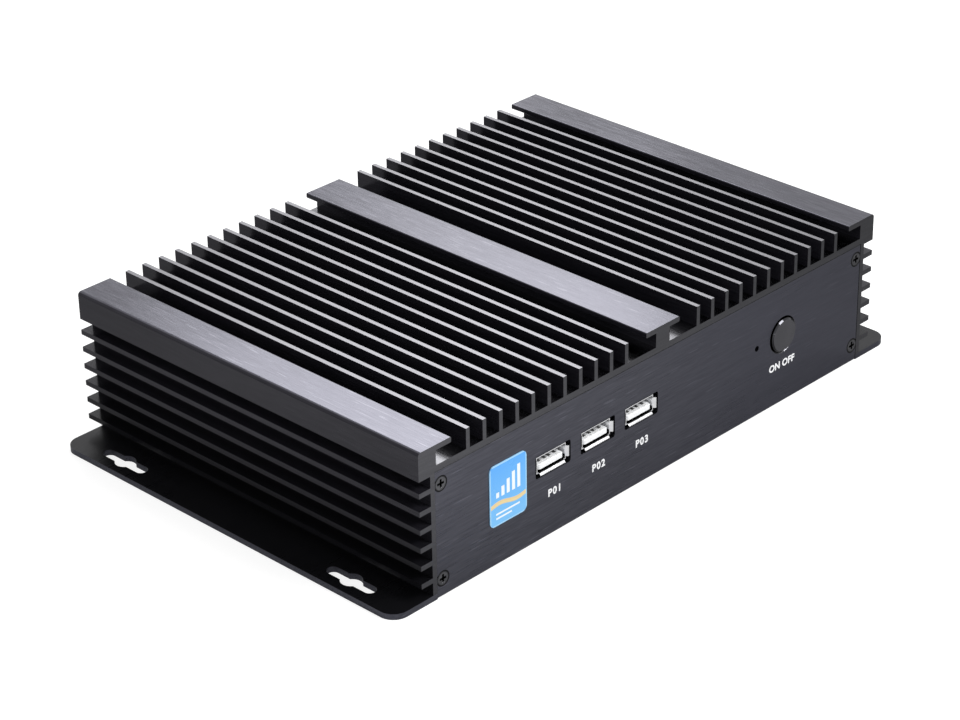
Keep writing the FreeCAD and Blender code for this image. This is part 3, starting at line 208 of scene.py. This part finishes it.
DRAWN_LINES = group("drawn_lines", [("Stretch", "NodeSocketVector", (2000.0, 60.0, 2000.0))],
                    [("Streak", "NodeSocketFloat"), ("Fine", "NodeSocketFloat"),
                     ("Scratch", "NodeSocketFloat")], build_drawn_lines)
FACE_MASKS = group("face_masks", [], [("Up", "NodeSocketFloat"), ("Sloping", "NodeSocketFloat"),
                                      ("End", "NodeSocketFloat")], build_face_masks)
HANDLING = group("handling", [("Patch scale", "NodeSocketFloat", 22.0)],
                 [("Patch", "NodeSocketFloat"), ("Speck", "NodeSocketFloat")], build_handling)
AXIS_DISTANCE = group("axis_distance", [(label, "NodeSocketFloat", 0.0) for label in
                                        ("Across", "Height", "Half across", "Half height")],
                      [("Distance", "NodeSocketFloat"), ("Lesser", "NodeSocketFloat")], build_axis_distance)


def place_group(wiring, tree, **inputs):
    """Put a shared group into a material with its own values."""
    node = wiring.tree.nodes.new("ShaderNodeGroup")
    node.node_tree = tree
    for key, value in inputs.items():
        wiring.feed(node, key.replace("_", " "), value)
    return node.outputs


def middle_of(node):
    """The middle of a node's box."""
    low_corner, high_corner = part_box(node)
    return (low_corner + high_corner) / 2


def surface(material, base, roughness, metallic, height, relief, strength, **plain):
    """Finish a material with one Principled shader and the bump that its height makes.

    relief is the depth of the bump in metres, strength its share; plain holds further constants.
    """
    wiring = Wiring(material.node_tree)
    shader = wiring.add("BsdfPrincipled")
    wiring.feed(shader, "Base Color", base)
    wiring.feed(shader, "Roughness", roughness)
    wiring.feed(shader, "Metallic", metallic)
    for key, value in plain.items():
        wiring.feed(shader, key.replace("_", " "), value)
    bump = wiring.add("Bump", Height=height, Strength=strength, Distance=relief)
    wiring.feed(shader, "Normal", bump.outputs["Normal"])
    output = wiring.add("OutputMaterial")
    wiring.feed(output, "Surface", shader.outputs["BSDF"])
    return material


# ------------------------------------------------------------------ finishes
LINES_ALONG_Y = (2600.0, 130.0, 2600.0)     # stretch of the noise: long in Y, short across
LINES_ALONG_X = (110.0, 2300.0, 2300.0)
ANODISED_IOR = 1.3           # the dark oxide film mirrors a little less than glass

CHANNEL_DEPTH = 6.8 * MM     # height of a top fin over the channel's floor
SIDE_CAP = 92.0 * MM         # distance of a side cap's inner edge from the middle
CENTRE_CAP = 9.0 * MM        # half width of the centre cap
CAP_MARGIN = 0.5 * MM
WALL_PALE = 34.0 * MM        # height over which a side wall is at its palest, clear of its painted shade
WALL_DARK = 4.0 * MM         # height under which its painted shade is at its darkest
FLOOR_DARK = 56.0 * MM       # depth, either way from the middle, where the painted shade of the channel floors gives way to paler painted reflection
FLOOR_PALE = 70.0 * MM       # and where they are at their palest
BRUSHING_BOLD = -20.0 * MM   # places across a plate between which its brushing fades
BRUSHING_FAINT = 60.0 * MM

SCREW_HEAD = 2.35 * MM       # radius of a panel screw's head
RIM_SHADE = (0.1 * MM, 0.45 * MM)    # width of the painted shade at the rim of that head, hard and soft
GROOVE = (0.25 * MM, 0.4 * MM)      # width of the groove round it, painted black as shade, hard and soft
CROSS_REACH = (1.25 * MM, 1.5 * MM)     # length of an arm of the painted shade over the recess, from the axis, hard and soft
CROSS_ARM = (0.3 * MM, 0.45 * MM)       # half width of that arm, hard and soft
RECESS = (0.02 * MM, 0.06 * MM)     # depths between which a screw's recess turns black as painted shade
BUTTON_RIM = 5.5 * MM        # radius where the button's bevel starts
BUTTON_SIDE = 5.97 * MM      # radius of the button's upright side
HOLE_WALL = 6.33 * MM        # radius of the panel's button hole
HOLE_RIM = 6.65 * MM         # radius where that hole's bevel meets the panel's face
SOFT_EDGE = 0.04 * MM
SOCKET_SHADE = (0.4 * MM, 0.6 * MM)     # depths between which a shell's floor turns black
CONTACT_WINDOW = (1.05 * MM, 1.2 * MM)  # distances from its tip where a contact strip turns dark


def from_button(wiring):
    """Distance from the power button's axis."""
    middle = middle_of("power_button")
    return place_group(wiring, AXIS_DISTANCE, Across=middle.x, Height=middle.z)["Distance"]


def from_screws(wiring):
    """Distance from the nearest panel screw's axis, and the lesser of its offsets across and up."""
    low_corner, high_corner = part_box("front_panel_screws")
    half = (high_corner - low_corner) / 2
    return place_group(wiring, AXIS_DISTANCE, Across=0.0, Height=(low_corner.z + high_corner.z) / 2,
                       Half_across=half.x - SCREW_HEAD, Half_height=half.z - SCREW_HEAD)


def casing_finish():
    """Black anodised extrusion: smooth die-drawn walls, brushed caps, sawn ends; tops paler in part and fin
    tips paler still as painted highlight; painted shade low on the walls and mid-channel.
    """
    material, wiring = new_material("anodised_casing")
    lines = place_group(wiring, DRAWN_LINES, Stretch=LINES_ALONG_Y)
    masks = place_group(wiring, FACE_MASKS)
    marks = place_group(wiring, HANDLING)
    place = wiring.place()
    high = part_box("finned_housing")[1].z
    top = wiring.math("MULTIPLY", masks["Up"], wiring.ramp(place["Z"], high - 2 * MM, high - MM))
    floor_height = high - CHANNEL_DEPTH
    floor = wiring.ramp(place["Z"], floor_height - 0.3 * MM, floor_height - 0.1 * MM)
    floor = wiring.math("MULTIPLY", masks["Up"], floor)
    across = wiring.math("ABSOLUTE", place["X"])
    side_cap = wiring.ramp(across, SIDE_CAP - CAP_MARGIN, SIDE_CAP + CAP_MARGIN)
    centre_cap = wiring.ramp(across, CENTRE_CAP - CAP_MARGIN, CENTRE_CAP + CAP_MARGIN)
    centre_cap = wiring.math("SUBTRACT", 1.0, centre_cap)
    cap = wiring.math("ADD", side_cap, centre_cap, clamp=True)
    cap_tone = wiring.blend(lines["Streak"], colour(0.080, 0.079, 0.097), colour(0.108, 0.107, 0.129))
    cap_tone = wiring.blend(lines["Scratch"], cap_tone, colour(0.135, 0.134, 0.158))
    # Painted highlight: fin tips paler than the caps, for the light that their narrow tops catch.
    tip_highlight = wiring.blend(lines["Fine"], colour(0.130, 0.128, 0.140), colour(0.215, 0.213, 0.228))
    sawn = wiring.math("MULTIPLY", place_group(wiring, DRAWN_LINES, Stretch=LINES_ALONG_X)["Streak"], 0.5)
    end_tone = wiring.blend(marks["Speck"], colour(0.072, 0.072, 0.080), colour(0.118, 0.118, 0.128))
    end_tone = wiring.blend(sawn, end_tone, colour(0.068, 0.068, 0.075))
    wall_tone = wiring.blend(lines["Streak"], colour(0.018, 0.017, 0.023), colour(0.027, 0.026, 0.033))
    # Painted shade: side walls darker towards the bottom.
    low_wall_shade = wiring.ramp(place["Z"], WALL_PALE, WALL_DARK)
    wall_tone = wiring.blend(low_wall_shade, wall_tone, colour(0.009, 0.009, 0.011))
    # Painted shade in the middle of each channel floor, and paler painted reflection towards either end.
    near_end = wiring.ramp(wiring.math("ABSOLUTE", place["Y"]), FLOOR_DARK, FLOOR_PALE)
    floor_painted_shade = wiring.blend(near_end, colour(0.04, 0.04, 0.045), colour(0.13, 0.13, 0.14))
    tone = wiring.blend(masks["End"], wall_tone, end_tone)
    tone = wiring.blend(floor, tone, floor_painted_shade)
    # Up-facing faces paler than the walls: brushed, and in part painted highlight.
    tone = wiring.blend(top, tone, wiring.blend(cap, tip_highlight, cap_tone))
    tip = wiring.math("MULTIPLY", top, wiring.math("SUBTRACT", 1.0, cap))
    rough = wiring.vary(lines["Streak"], 0.15, 0.20)
    rough = wiring.math("ADD", rough, wiring.math("MULTIPLY", tip, 0.12))
    rough = wiring.math("ADD", rough, wiring.math("MULTIPLY", marks["Patch"], 0.02))
    mirroring = wiring.math("MAXIMUM", wiring.math("MAXIMUM", masks["End"], floor), top)
    metal = wiring.vary(mirroring, 0.5, 1.0)
    return surface(material, tone, rough, metal, lines["Fine"], 0.008 * MM, 0.5, IOR=ANODISED_IOR)


def plate_finish():
    """Black anodised sheet with brushed lines: darker, as painted shade, where it looks up, and black round
    its screws as painted shade.

    The brushing is fainter on the right, the bevel of the button's hole is polished, and the hole's wall is
    painted black as shade.
    """
    material, wiring = new_material("anodised_plate")
    dark, light = (0.078, 0.079, 0.098), (0.106, 0.107, 0.130)
    lines = place_group(wiring, DRAWN_LINES, Stretch=LINES_ALONG_X)
    masks = place_group(wiring, FACE_MASKS)
    marks = place_group(wiring, HANDLING)
    tone = wiring.blend(lines["Streak"], colour(*dark), colour(*light))
    tone = wiring.blend(lines["Scratch"], tone, colour(*(1.35 * part for part in light)))
    place = wiring.place()
    faint = wiring.math("MULTIPLY", wiring.ramp(place["X"], BRUSHING_BOLD, BRUSHING_FAINT), 0.6)
    red, green, blue = (0.45 * first + 0.55 * second for first, second in zip(dark, light))
    tone = wiring.blend(faint, tone, colour(red, green, 1.06 * blue))
    # Painted shade: faces that look up are darkened.
    tone = wiring.blend(masks["Sloping"], tone, colour(0.010, 0.010, 0.012))
    screws = from_screws(wiring)["Distance"]
    # Painted shade: a black ring in the groove round each screw head.
    groove = wiring.math("MULTIPLY", wiring.ramp(screws, SCREW_HEAD - SOFT_EDGE, SCREW_HEAD + SOFT_EDGE),
                         wiring.ramp(screws, SCREW_HEAD + GROOVE[1], SCREW_HEAD + GROOVE[0]))
    tone = wiring.blend(groove, tone, colour(0.006))
    button = from_button(wiring)
    front = wiring.ramp(place["Y"], MM, -MM)
    rim = wiring.math("MULTIPLY", front, wiring.ramp(button, HOLE_RIM + SOFT_EDGE, HOLE_RIM - SOFT_EDGE))
    # Painted shade: the wall of the button's hole is black.
    wall = wiring.math("MULTIPLY", front, wiring.ramp(button, HOLE_WALL + SOFT_EDGE, HOLE_WALL - SOFT_EDGE))
    tone = wiring.blend(rim, tone, colour(0.13, 0.13, 0.14))
    tone = wiring.blend(wall, tone, colour(0.004))
    rough = wiring.math("ADD", wiring.vary(lines["Streak"], 0.26, 0.36),
                        wiring.math("MULTIPLY", marks["Patch"], 0.04))
    rough = wiring.math("MULTIPLY", rough, wiring.vary(rim, 1.0, 0.35))
    metal = wiring.vary(masks["Sloping"], 1.0, 0.6)
    return surface(material, tone, rough, metal, lines["Fine"], 0.015 * MM, 0.5, IOR=ANODISED_IOR)


def screw_finish():
    """Blackened steel screw heads, paler in the middle, with painted shade at the rim, over the cross and
    in the recess.
    """
    material, wiring = new_material("screw_black")
    marks = place_group(wiring, HANDLING, Patch_scale=500.0)
    screws = from_screws(wiring)
    # Painted shade: the rim of each head is darkened.
    rim = wiring.ramp(screws["Distance"], SCREW_HEAD - RIM_SHADE[1], SCREW_HEAD - RIM_SHADE[0])
    # Painted shade: a dark cross over and round the recess.
    cross = wiring.math("MULTIPLY", wiring.ramp(screws["Distance"], CROSS_REACH[1], CROSS_REACH[0]),
                        wiring.ramp(screws["Lesser"], CROSS_ARM[1], CROSS_ARM[0]))
    tone = wiring.blend(marks["Patch"], colour(0.1, 0.1, 0.108), colour(0.135, 0.135, 0.145))
    tone = wiring.blend(rim, tone, colour(0.03, 0.03, 0.033))
    tone = wiring.blend(cross, tone, colour(0.012))
    place = wiring.place()
    out = wiring.math("ABSOLUTE", place["Y"])
    face = -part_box("front_panel_screws")[0].y
    # Painted shade: all that lies below the head's face turns black.
    tone = wiring.blend(wiring.ramp(out, face - RECESS[1], face - RECESS[0]), colour(0.004), tone)
    rough = wiring.vary(marks["Patch"], 0.24, 0.34)
    return surface(material, tone, rough, 1.0, marks["Speck"], 0.01 * MM, 0.3)


def button_finish():
    """Anodised button: a satin face, a polished bevel darkened as painted shade, and a side painted black
    as shade.
    """
    material, wiring = new_material("button_black")
    marks = place_group(wiring, HANDLING, Patch_scale=160.0)
    distance = from_button(wiring)
    bevel = wiring.ramp(distance, BUTTON_RIM - SOFT_EDGE, BUTTON_RIM + SOFT_EDGE)
    side = wiring.ramp(distance, BUTTON_SIDE - SOFT_EDGE, BUTTON_SIDE + SOFT_EDGE / 2)
    tone = wiring.blend(marks["Patch"], colour(0.118, 0.118, 0.130), colour(0.130, 0.130, 0.143))
    # Painted shade: the bevel is darkened, so that only the lamps' highlights show on it.
    tone = wiring.blend(bevel, tone, colour(0.045, 0.045, 0.05))
    # Painted shade: the upright side, down in the gap round the button, is black.
    tone = wiring.blend(side, tone, colour(0.004))
    rough = wiring.math("MULTIPLY", wiring.vary(marks["Patch"], 0.2, 0.26), wiring.vary(bevel, 1.0, 0.45))
    return surface(material, tone, rough, 1.0, marks["Speck"], 0.004 * MM, 0.3)


def badge_finish():
    """Blue film with a pale rim painted as the highlight of its rounded edge, rising white bars, an amber
    wave under them and two white lines.

    All of it is drawn from the distances across and up the badge, in millimetres from its corner.
    """
    material, wiring = new_material("badge_blue")
    corner, far_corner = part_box("badge_sticker")
    width, height = (far_corner.x - corner.x) / MM, (far_corner.z - corner.z) / MM
    place = wiring.place()
    across = wiring.math("MULTIPLY", wiring.math("SUBTRACT", place["X"], corner.x), 1 / MM)
    up = wiring.math("MULTIPLY", wiring.math("SUBTRACT", place["Z"], corner.z), 1 / MM)
    sharpness = 12.0

    def between(value, low_edge, high_edge):
        """1 where a value lies between two edges, with soft sides."""
        past_low = wiring.math("SUBTRACT", value, low_edge)
        past_high = wiring.math("SUBTRACT", high_edge, value)
        above = wiring.math("MULTIPLY_ADD", past_low, sharpness, 0.5, clamp=True)
        below = wiring.math("MULTIPLY_ADD", past_high, sharpness, 0.5, clamp=True)
        return wiring.math("MULTIPLY", above, below)

    def block(left, right, foot, head):
        """1 inside a rectangle."""
        return wiring.math("MULTIPLY", between(up, foot, head), between(across, left, right))

    margin = 2.6
    bar_count, bar_step, bar_width, bar_inset = 5, 2.3, 1.3, 0.1
    bar_foot, first_crest, crest_step = 9.6, 11.4, 1.55
    column = wiring.math("DIVIDE", wiring.math("SUBTRACT", across, margin), bar_step)
    crest = wiring.math("MULTIPLY_ADD", wiring.math("FLOOR", column), crest_step, first_crest)
    within = wiring.math("MULTIPLY", wiring.math("FRACT", column), bar_step)
    bars = wiring.math("MULTIPLY", between(within, bar_inset, bar_inset + bar_width),
                       between(up, bar_foot, crest))
    left = margin - bar_inset
    bars = wiring.math("MULTIPLY", bars, between(across, left, left + bar_count * bar_step))
    wave_foot, wave_head, wave_swing = 6.1, 7.6, 0.7
    turn = wiring.math("MULTIPLY", across, 2 * math.pi / width)
    swing = wiring.math("MULTIPLY", wiring.math("SINE", turn), wave_swing)
    band = between(wiring.math("SUBTRACT", up, swing), wave_foot, wave_head)
    long_line = block(margin, 12.9, 3.7, 4.3)
    short_line = block(margin, 9.4, 2.2, 2.8)
    white = wiring.math("MAXIMUM", bars, wiring.math("MAXIMUM", long_line, short_line))
    # Painted highlight: the pale rim outside this inset stands for light on the film's rounded edge.
    rim = 0.45
    inner = block(rim, width - rim, rim, height - rim)
    marks = place_group(wiring, HANDLING, Patch_scale=120.0)
    rise = wiring.math("DIVIDE", up, height)
    tone = wiring.blend(rise, colour(0.20, 0.53, 0.90), colour(0.10, 0.40, 0.90))
    tone = wiring.blend(wiring.math("MULTIPLY", marks["Patch"], 0.1), tone, colour(0.16, 0.48, 0.92))
    tone = wiring.blend(band, tone, colour(0.80, 0.62, 0.32))
    tone = wiring.blend(white, tone, colour(0.86, 0.92, 0.95))
    tone = wiring.blend(inner, colour(0.36, 0.66, 0.93), tone)
    rough = wiring.vary(marks["Patch"], 0.2, 0.28)
    return surface(material, tone, rough, 0.0, marks["Speck"], 0.003 * MM, 0.3)


def clouded_finish(name, dark, light, low, high, metallic, patch_scale):
    """One material between two tones and two roughnesses, by soft patches, with a fine grain."""
    material, wiring = new_material(name)
    marks = place_group(wiring, HANDLING, Patch_scale=patch_scale)
    tone = wiring.blend(marks["Patch"], colour(*dark), colour(*light))
    rough = wiring.vary(marks["Patch"], low, high)
    return surface(material, tone, rough, metallic, marks["Speck"], 0.01 * MM, 0.3)


def metal_finish(name, dark, light, low, high):
    """Plain plated or oxidised metal with faint clouding."""
    return clouded_finish(name, dark, light, low, high, 1.0, 400.0)


def moulded_finish(name, dark, light, low, high):
    """Moulded plastic with a fine grain."""
    return clouded_finish(name, dark, light, low, high, 0.0, 300.0)


def socket_finish():
    """Bright plated shells; their floors are dark inside, where no light reaches."""
    material, wiring = new_material("socket_steel")
    marks = place_group(wiring, HANDLING, Patch_scale=400.0)
    masks = place_group(wiring, FACE_MASKS)
    place = wiring.place()
    mouth = -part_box("front_data_shell_1")[0].y
    out = wiring.math("ABSOLUTE", place["Y"])
    inside = wiring.ramp(out, mouth - SOCKET_SHADE[0], mouth - SOCKET_SHADE[1])
    tone = wiring.blend(marks["Patch"], colour(0.88, 0.88, 0.90), colour(0.95, 0.95, 0.96))
    tone = wiring.blend(wiring.math("MULTIPLY", inside, masks["Sloping"]), tone, colour(0.006))
    rough = wiring.vary(marks["Patch"], 0.16, 0.24)
    return surface(material, tone, rough, 1.0, marks["Speck"], 0.01 * MM, 0.3)


def contact_finish():
    """Pale contact strips that end in a dark window a little way up the tongue."""
    material, wiring = new_material("pale_contact")
    marks = place_group(wiring, HANDLING, Patch_scale=300.0)
    place = wiring.place()
    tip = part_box("front_data_contacts")[0].y
    window = wiring.ramp(place["Y"], tip + CONTACT_WINDOW[0], tip + CONTACT_WINDOW[1])
    tone = wiring.blend(marks["Patch"], colour(0.80, 0.80, 0.79), colour(0.87, 0.87, 0.86))
    tone = wiring.blend(window, tone, colour(0.07))
    rough = wiring.vary(marks["Patch"], 0.3, 0.4)
    return surface(material, tone, rough, 0.0, marks["Speck"], 0.01 * MM, 0.3)


FINISHES = {
    "anodised_black": casing_finish(),
    "anodised_plate": plate_finish(),
    "button_black": button_finish(),
    "screw_black": screw_finish(),
    "socket_steel": socket_finish(),
    "bright_steel": metal_finish("bright_steel", (0.55, 0.55, 0.57), (0.7, 0.7, 0.71), 0.2, 0.32),
    "contact_gold": metal_finish("contact_gold", (0.75, 0.53, 0.2), (0.86, 0.66, 0.3), 0.2, 0.3),
    "bare_aluminium": metal_finish("bare_aluminium", (0.6, 0.6, 0.62), (0.72, 0.72, 0.73), 0.28, 0.4),
    "white_plastic": moulded_finish("white_plastic", (0.86, 0.87, 0.88), (0.91, 0.92, 0.93), 0.3, 0.4),
    "black_plastic": moulded_finish("black_plastic", (0.02, 0.02, 0.021), (0.032, 0.032, 0.034), 0.4, 0.55),
    "blue_plastic": moulded_finish("blue_plastic", (0.02, 0.09, 0.38), (0.03, 0.12, 0.45), 0.35, 0.5),
    "circuit_board": moulded_finish("circuit_board", (0.012, 0.12, 0.05), (0.02, 0.16, 0.07), 0.3, 0.45),
    "chip_black": moulded_finish("chip_black", (0.018, 0.018, 0.02), (0.03, 0.03, 0.032), 0.4, 0.5),
    "thermal_pad": moulded_finish("thermal_pad", (0.38, 0.4, 0.43), (0.46, 0.48, 0.5), 0.6, 0.75),
    "badge_blue": badge_finish(),
    "lamp_clear": moulded_finish("lamp_clear", (0.5, 0.52, 0.54), (0.6, 0.62, 0.64), 0.1, 0.2),
    "lamp_amber": moulded_finish("lamp_amber", (0.7, 0.4, 0.08), (0.8, 0.5, 0.12), 0.15, 0.25),
    "plunger_plastic": moulded_finish("plunger_plastic", (0.4, 0.05, 0.04), (0.5, 0.07, 0.05), 0.35, 0.5),
}
OWN_FINISH = {"front_data_contacts": contact_finish()}     # by node name, before the slot's finish
for part in frame["record"]["subparts"]:
    mesh = frame["nodes"][part["node"]].data
    mesh.materials.clear()
    mesh.materials.append(OWN_FINISH.get(part["node"], FINISHES[part["material_slot"]]))


# ------------------------------------------------------------------ printed marks
def print_finish():
    """White screen ink: matt, a little uneven in cover."""
    material, wiring = new_material("white_ink")
    marks = place_group(wiring, HANDLING, Patch_scale=900.0)
    tone = wiring.blend(marks["Patch"], colour(0.86, 0.87, 0.88), colour(0.95, 0.95, 0.96))
    rough = wiring.vary(marks["Patch"], 0.4, 0.55)
    return surface(material, tone, rough, 0.0, marks["Speck"], 0.004 * MM, 0.3)


WHITE_INK = print_finish()
CAPITAL = 2.45 * MM                  # height of a printed capital
CAPITAL_SHARE = 0.7                  # of the font's own size
BOLD = 0.034                         # how far the outlines are widened, as a share of the size
INK = 0.04 * MM                      # thickness of the print
SOCKET_WORD_HEIGHT = 15.0 * MM       # of a word's middle, over the underside
BUTTON_WORD_HEIGHT = 14.6 * MM
SOCKET_WORD_SHIFT = 0.4 * MM         # of a word's middle, to the right of its socket


def printed_word(name, words, across, height, spacing):
    """White letters on the front panel: font outlines made a thin closed plate of ink.

    They are centred at (across, height) on the panel's face; spacing widens the gaps between letters.
    """
    text = bpy.data.curves.new(name, "FONT")
    text.body = words
    text.size = CAPITAL / CAPITAL_SHARE
    text.align_x = "CENTER"
    text.offset = BOLD * text.size
    text.space_character = spacing
    text.extrude = INK / 2
    text.resolution_u = 6
    flat = bpy.data.objects.new(name, text)
    bpy.context.scene.collection.objects.link(flat)
    bpy.context.view_layer.update()
    mesh = bpy.data.meshes.new_from_object(flat.evaluated_get(bpy.context.evaluated_depsgraph_get()))
    bpy.data.objects.remove(flat)
    points = np.empty(len(mesh.vertices) * 3)
    mesh.vertices.foreach_get("co", points)
    points = points.reshape(-1, 3)
    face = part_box("front_panel")[0].y
    middle = (points[:, :2].max(axis=0) + points[:, :2].min(axis=0)) / 2
    placed = np.stack([across + points[:, 0] - middle[0], face - INK / 2 - points[:, 2],
                       height + points[:, 1] - middle[1]], axis=1)
    mesh.vertices.foreach_set("co", placed.ravel())
    mesh.name = name
    mesh.materials.clear()
    mesh.materials.append(WHITE_INK)
    mesh.update()
    piece = bpy.data.objects.new(name, mesh)
    bpy.context.scene.collection.objects.link(piece)
    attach(piece, "casing")


for number in (1, 2, 3):
    across = middle_of("front_data_shell_%d" % number).x + SOCKET_WORD_SHIFT
    printed_word("socket_number_%d" % number, "P%02d" % number, across, SOCKET_WORD_HEIGHT, spacing=1.22)
printed_word("button_words", "ON OFF", middle_of("power_button").x, BUTTON_WORD_HEIGHT, spacing=1.04)


# ------------------------------------------------------------------ stage, light and camera
def studio_world():
    """A white surround for what is seen directly, and a soft even light for the rest."""
    world = bpy.data.worlds.new("studio")
    bpy.context.scene.world = world
    world.use_nodes = True
    world.node_tree.nodes.clear()
    wiring = Wiring(world.node_tree)
    path = wiring.add("LightPath").outputs
    seen = wiring.math("MAXIMUM", path["Is Camera Ray"], path["Is Glossy Ray"])
    seen = wiring.math("MAXIMUM", seen, path["Is Transmission Ray"])
    background = wiring.add("Background", Color=colour(1.0), Strength=wiring.vary(seen, 0.7, 1.0))
    output = wiring.add("OutputWorld")
    wiring.feed(output, "Surface", background.outputs[0])


def studio_floor():
    """A wide pale floor: white to the eye but for a soft shadow, and to gloss paler on its left.

    What gloss sees of it is palest on the left and in front, as painted light, and darkens close to the
    object, as painted shade.
    """
    material, wiring = new_material("pale_floor")
    path = wiring.add("LightPath").outputs
    place = wiring.place()
    seen = wiring.math("MAXIMUM", path["Is Camera Ray"], path["Is Transmission Ray"])
    left_end, right_end = -0.14, 0.22
    under, clear_of = -0.005, 0.065
    front_end, rear_end = 0.04, 0.16
    leftward = wiring.math("SUBTRACT", 1.0, wiring.ramp(place["X"], left_end, right_end))
    beside = wiring.math("SUBTRACT", wiring.math("ABSOLUTE", place["X"]), CAD_BOUNDS[1][0])
    before = wiring.math("SUBTRACT", wiring.math("ABSOLUTE", place["Y"]), CAD_BOUNDS[1][1])
    clear = wiring.ramp(wiring.math("MAXIMUM", beside, before), under, clear_of)
    rearward = wiring.ramp(place["Y"], front_end, rear_end)
    # Painted light and shade, for reflections only: the glow is paler to the left and in front, weaker
    # close to the object and to the rear.
    mirrored = wiring.math("MULTIPLY", wiring.vary(leftward, 0.0, 0.55), wiring.vary(clear, 0.25, 1.0))
    mirrored = wiring.math("MULTIPLY", mirrored, wiring.vary(rearward, 1.0, 0.3))
    mirrored = wiring.math("MULTIPLY", path["Is Glossy Ray"], mirrored)
    # Painted shade, for reflections only: the paint is darker to the right.
    rightward = wiring.math("MULTIPLY", path["Is Glossy Ray"], wiring.math("SUBTRACT", 1.0, leftward))
    paint = wiring.add("BsdfDiffuse", Color=wiring.blend(rightward, colour(0.4), colour(0.26)))
    seen_glow = 0.74
    strength = wiring.math("MULTIPLY_ADD", seen, seen_glow, mirrored)
    glow = wiring.add("Emission", Color=colour(1.0), Strength=strength)
    both = wiring.add("AddShader")
    wiring.feed(both, "0", paint.outputs[0])
    wiring.feed(both, "1", glow.outputs[0])
    output = wiring.add("OutputMaterial")
    wiring.feed(output, "Surface", both.outputs[0])
    reach = 12.0
    drop = 0.02 * MM         # below the underside, so that the two faces don't share a plane
    mesh = bpy.data.meshes.new("pale_floor")
    corners = [(-reach, -reach, 0), (reach, -reach, 0), (reach, reach, 0), (-reach, reach, 0)]
    mesh.from_pydata(corners, [], [(0, 1, 2, 3)])
    mesh.materials.append(material)
    floor = bpy.data.objects.new("pale_floor", mesh)
    bpy.context.scene.collection.objects.link(floor)
    floor.location.z = CAD_BOUNDS[0][2] - drop


def panel_lamp(name, place, size, radiance, turn):
    """A rectangular lamp that faces the object, turned about its own axis.

    Its first side is level before the turn, and its power is pi x area x radiance.
    """
    light = bpy.data.lights.new(name, "AREA")
    light.shape = "RECTANGLE"
    light.size, light.size_y = size
    light.energy = math.pi * size[0] * size[1] * radiance
    centre = Vector(place)
    aim = -centre.normalized()
    level = Vector((0, 0, 1)).cross(aim).normalized()
    rise = aim.cross(level)
    first = math.cos(turn) * level + math.sin(turn) * rise
    second = math.cos(turn) * rise - math.sin(turn) * level
    lamp = bpy.data.objects.new(name, light)
    bpy.context.scene.collection.objects.link(lamp)
    lamp.matrix_world = Matrix.Translation(centre) @ Matrix((first, -second, -aim)).transposed().to_4x4()


def studio_camera(place, angles, lens):
    """A long lens above the left front corner; angles are azimuth, elevation and roll in degrees."""
    azimuth, elevation, roll = (math.radians(angle) for angle in angles)
    back = Vector((math.sin(azimuth) * math.cos(elevation),
                   -math.cos(azimuth) * math.cos(elevation), math.sin(elevation)))
    right = Vector((0, 0, 1)).cross(back).normalized()
    up = back.cross(right)
    turned_right = math.cos(roll) * right + math.sin(roll) * up
    turned_up = math.cos(roll) * up - math.sin(roll) * right
    camera = bpy.data.objects.new("camera", bpy.data.cameras.new("camera"))
    camera.data.lens = lens
    camera.data.sensor_width = 36.0
    rotation = Matrix((turned_right, turned_up, back)).transposed().to_4x4()
    camera.matrix_world = Matrix.Translation(place) @ rotation
    bpy.context.scene.collection.objects.link(camera)
    bpy.context.scene.camera = camera


studio_world()
studio_floor()
# Both back lamps are mirrored by the caps and fin tips, the front one by the polished bevels and
# the brushing of the front panel, and the strip by the left side.
panel_lamp("back_softbox", place=(0.591, 0.488, 0.973), size=(1.065, 0.416), radiance=3.95, turn=1.25)
panel_lamp("back_fill", place=(0.862, 0.876, 0.614), size=(0.12, 0.14), radiance=1.4, turn=1.25)
panel_lamp("front_softbox", place=(0.62, -1.24, 1.44), size=(0.9, 0.55), radiance=18.0, turn=0.0)
panel_lamp("left_strip", place=(-1.15, -1.55, 0.36), size=(0.3, 0.4), radiance=8.0, turn=0.0)
studio_camera((-0.611564, -0.592541, 0.470456), (-45.761, 28.27, -0.997), 109.36)
scene = bpy.context.scene
scene.view_settings.view_transform = "Standard"
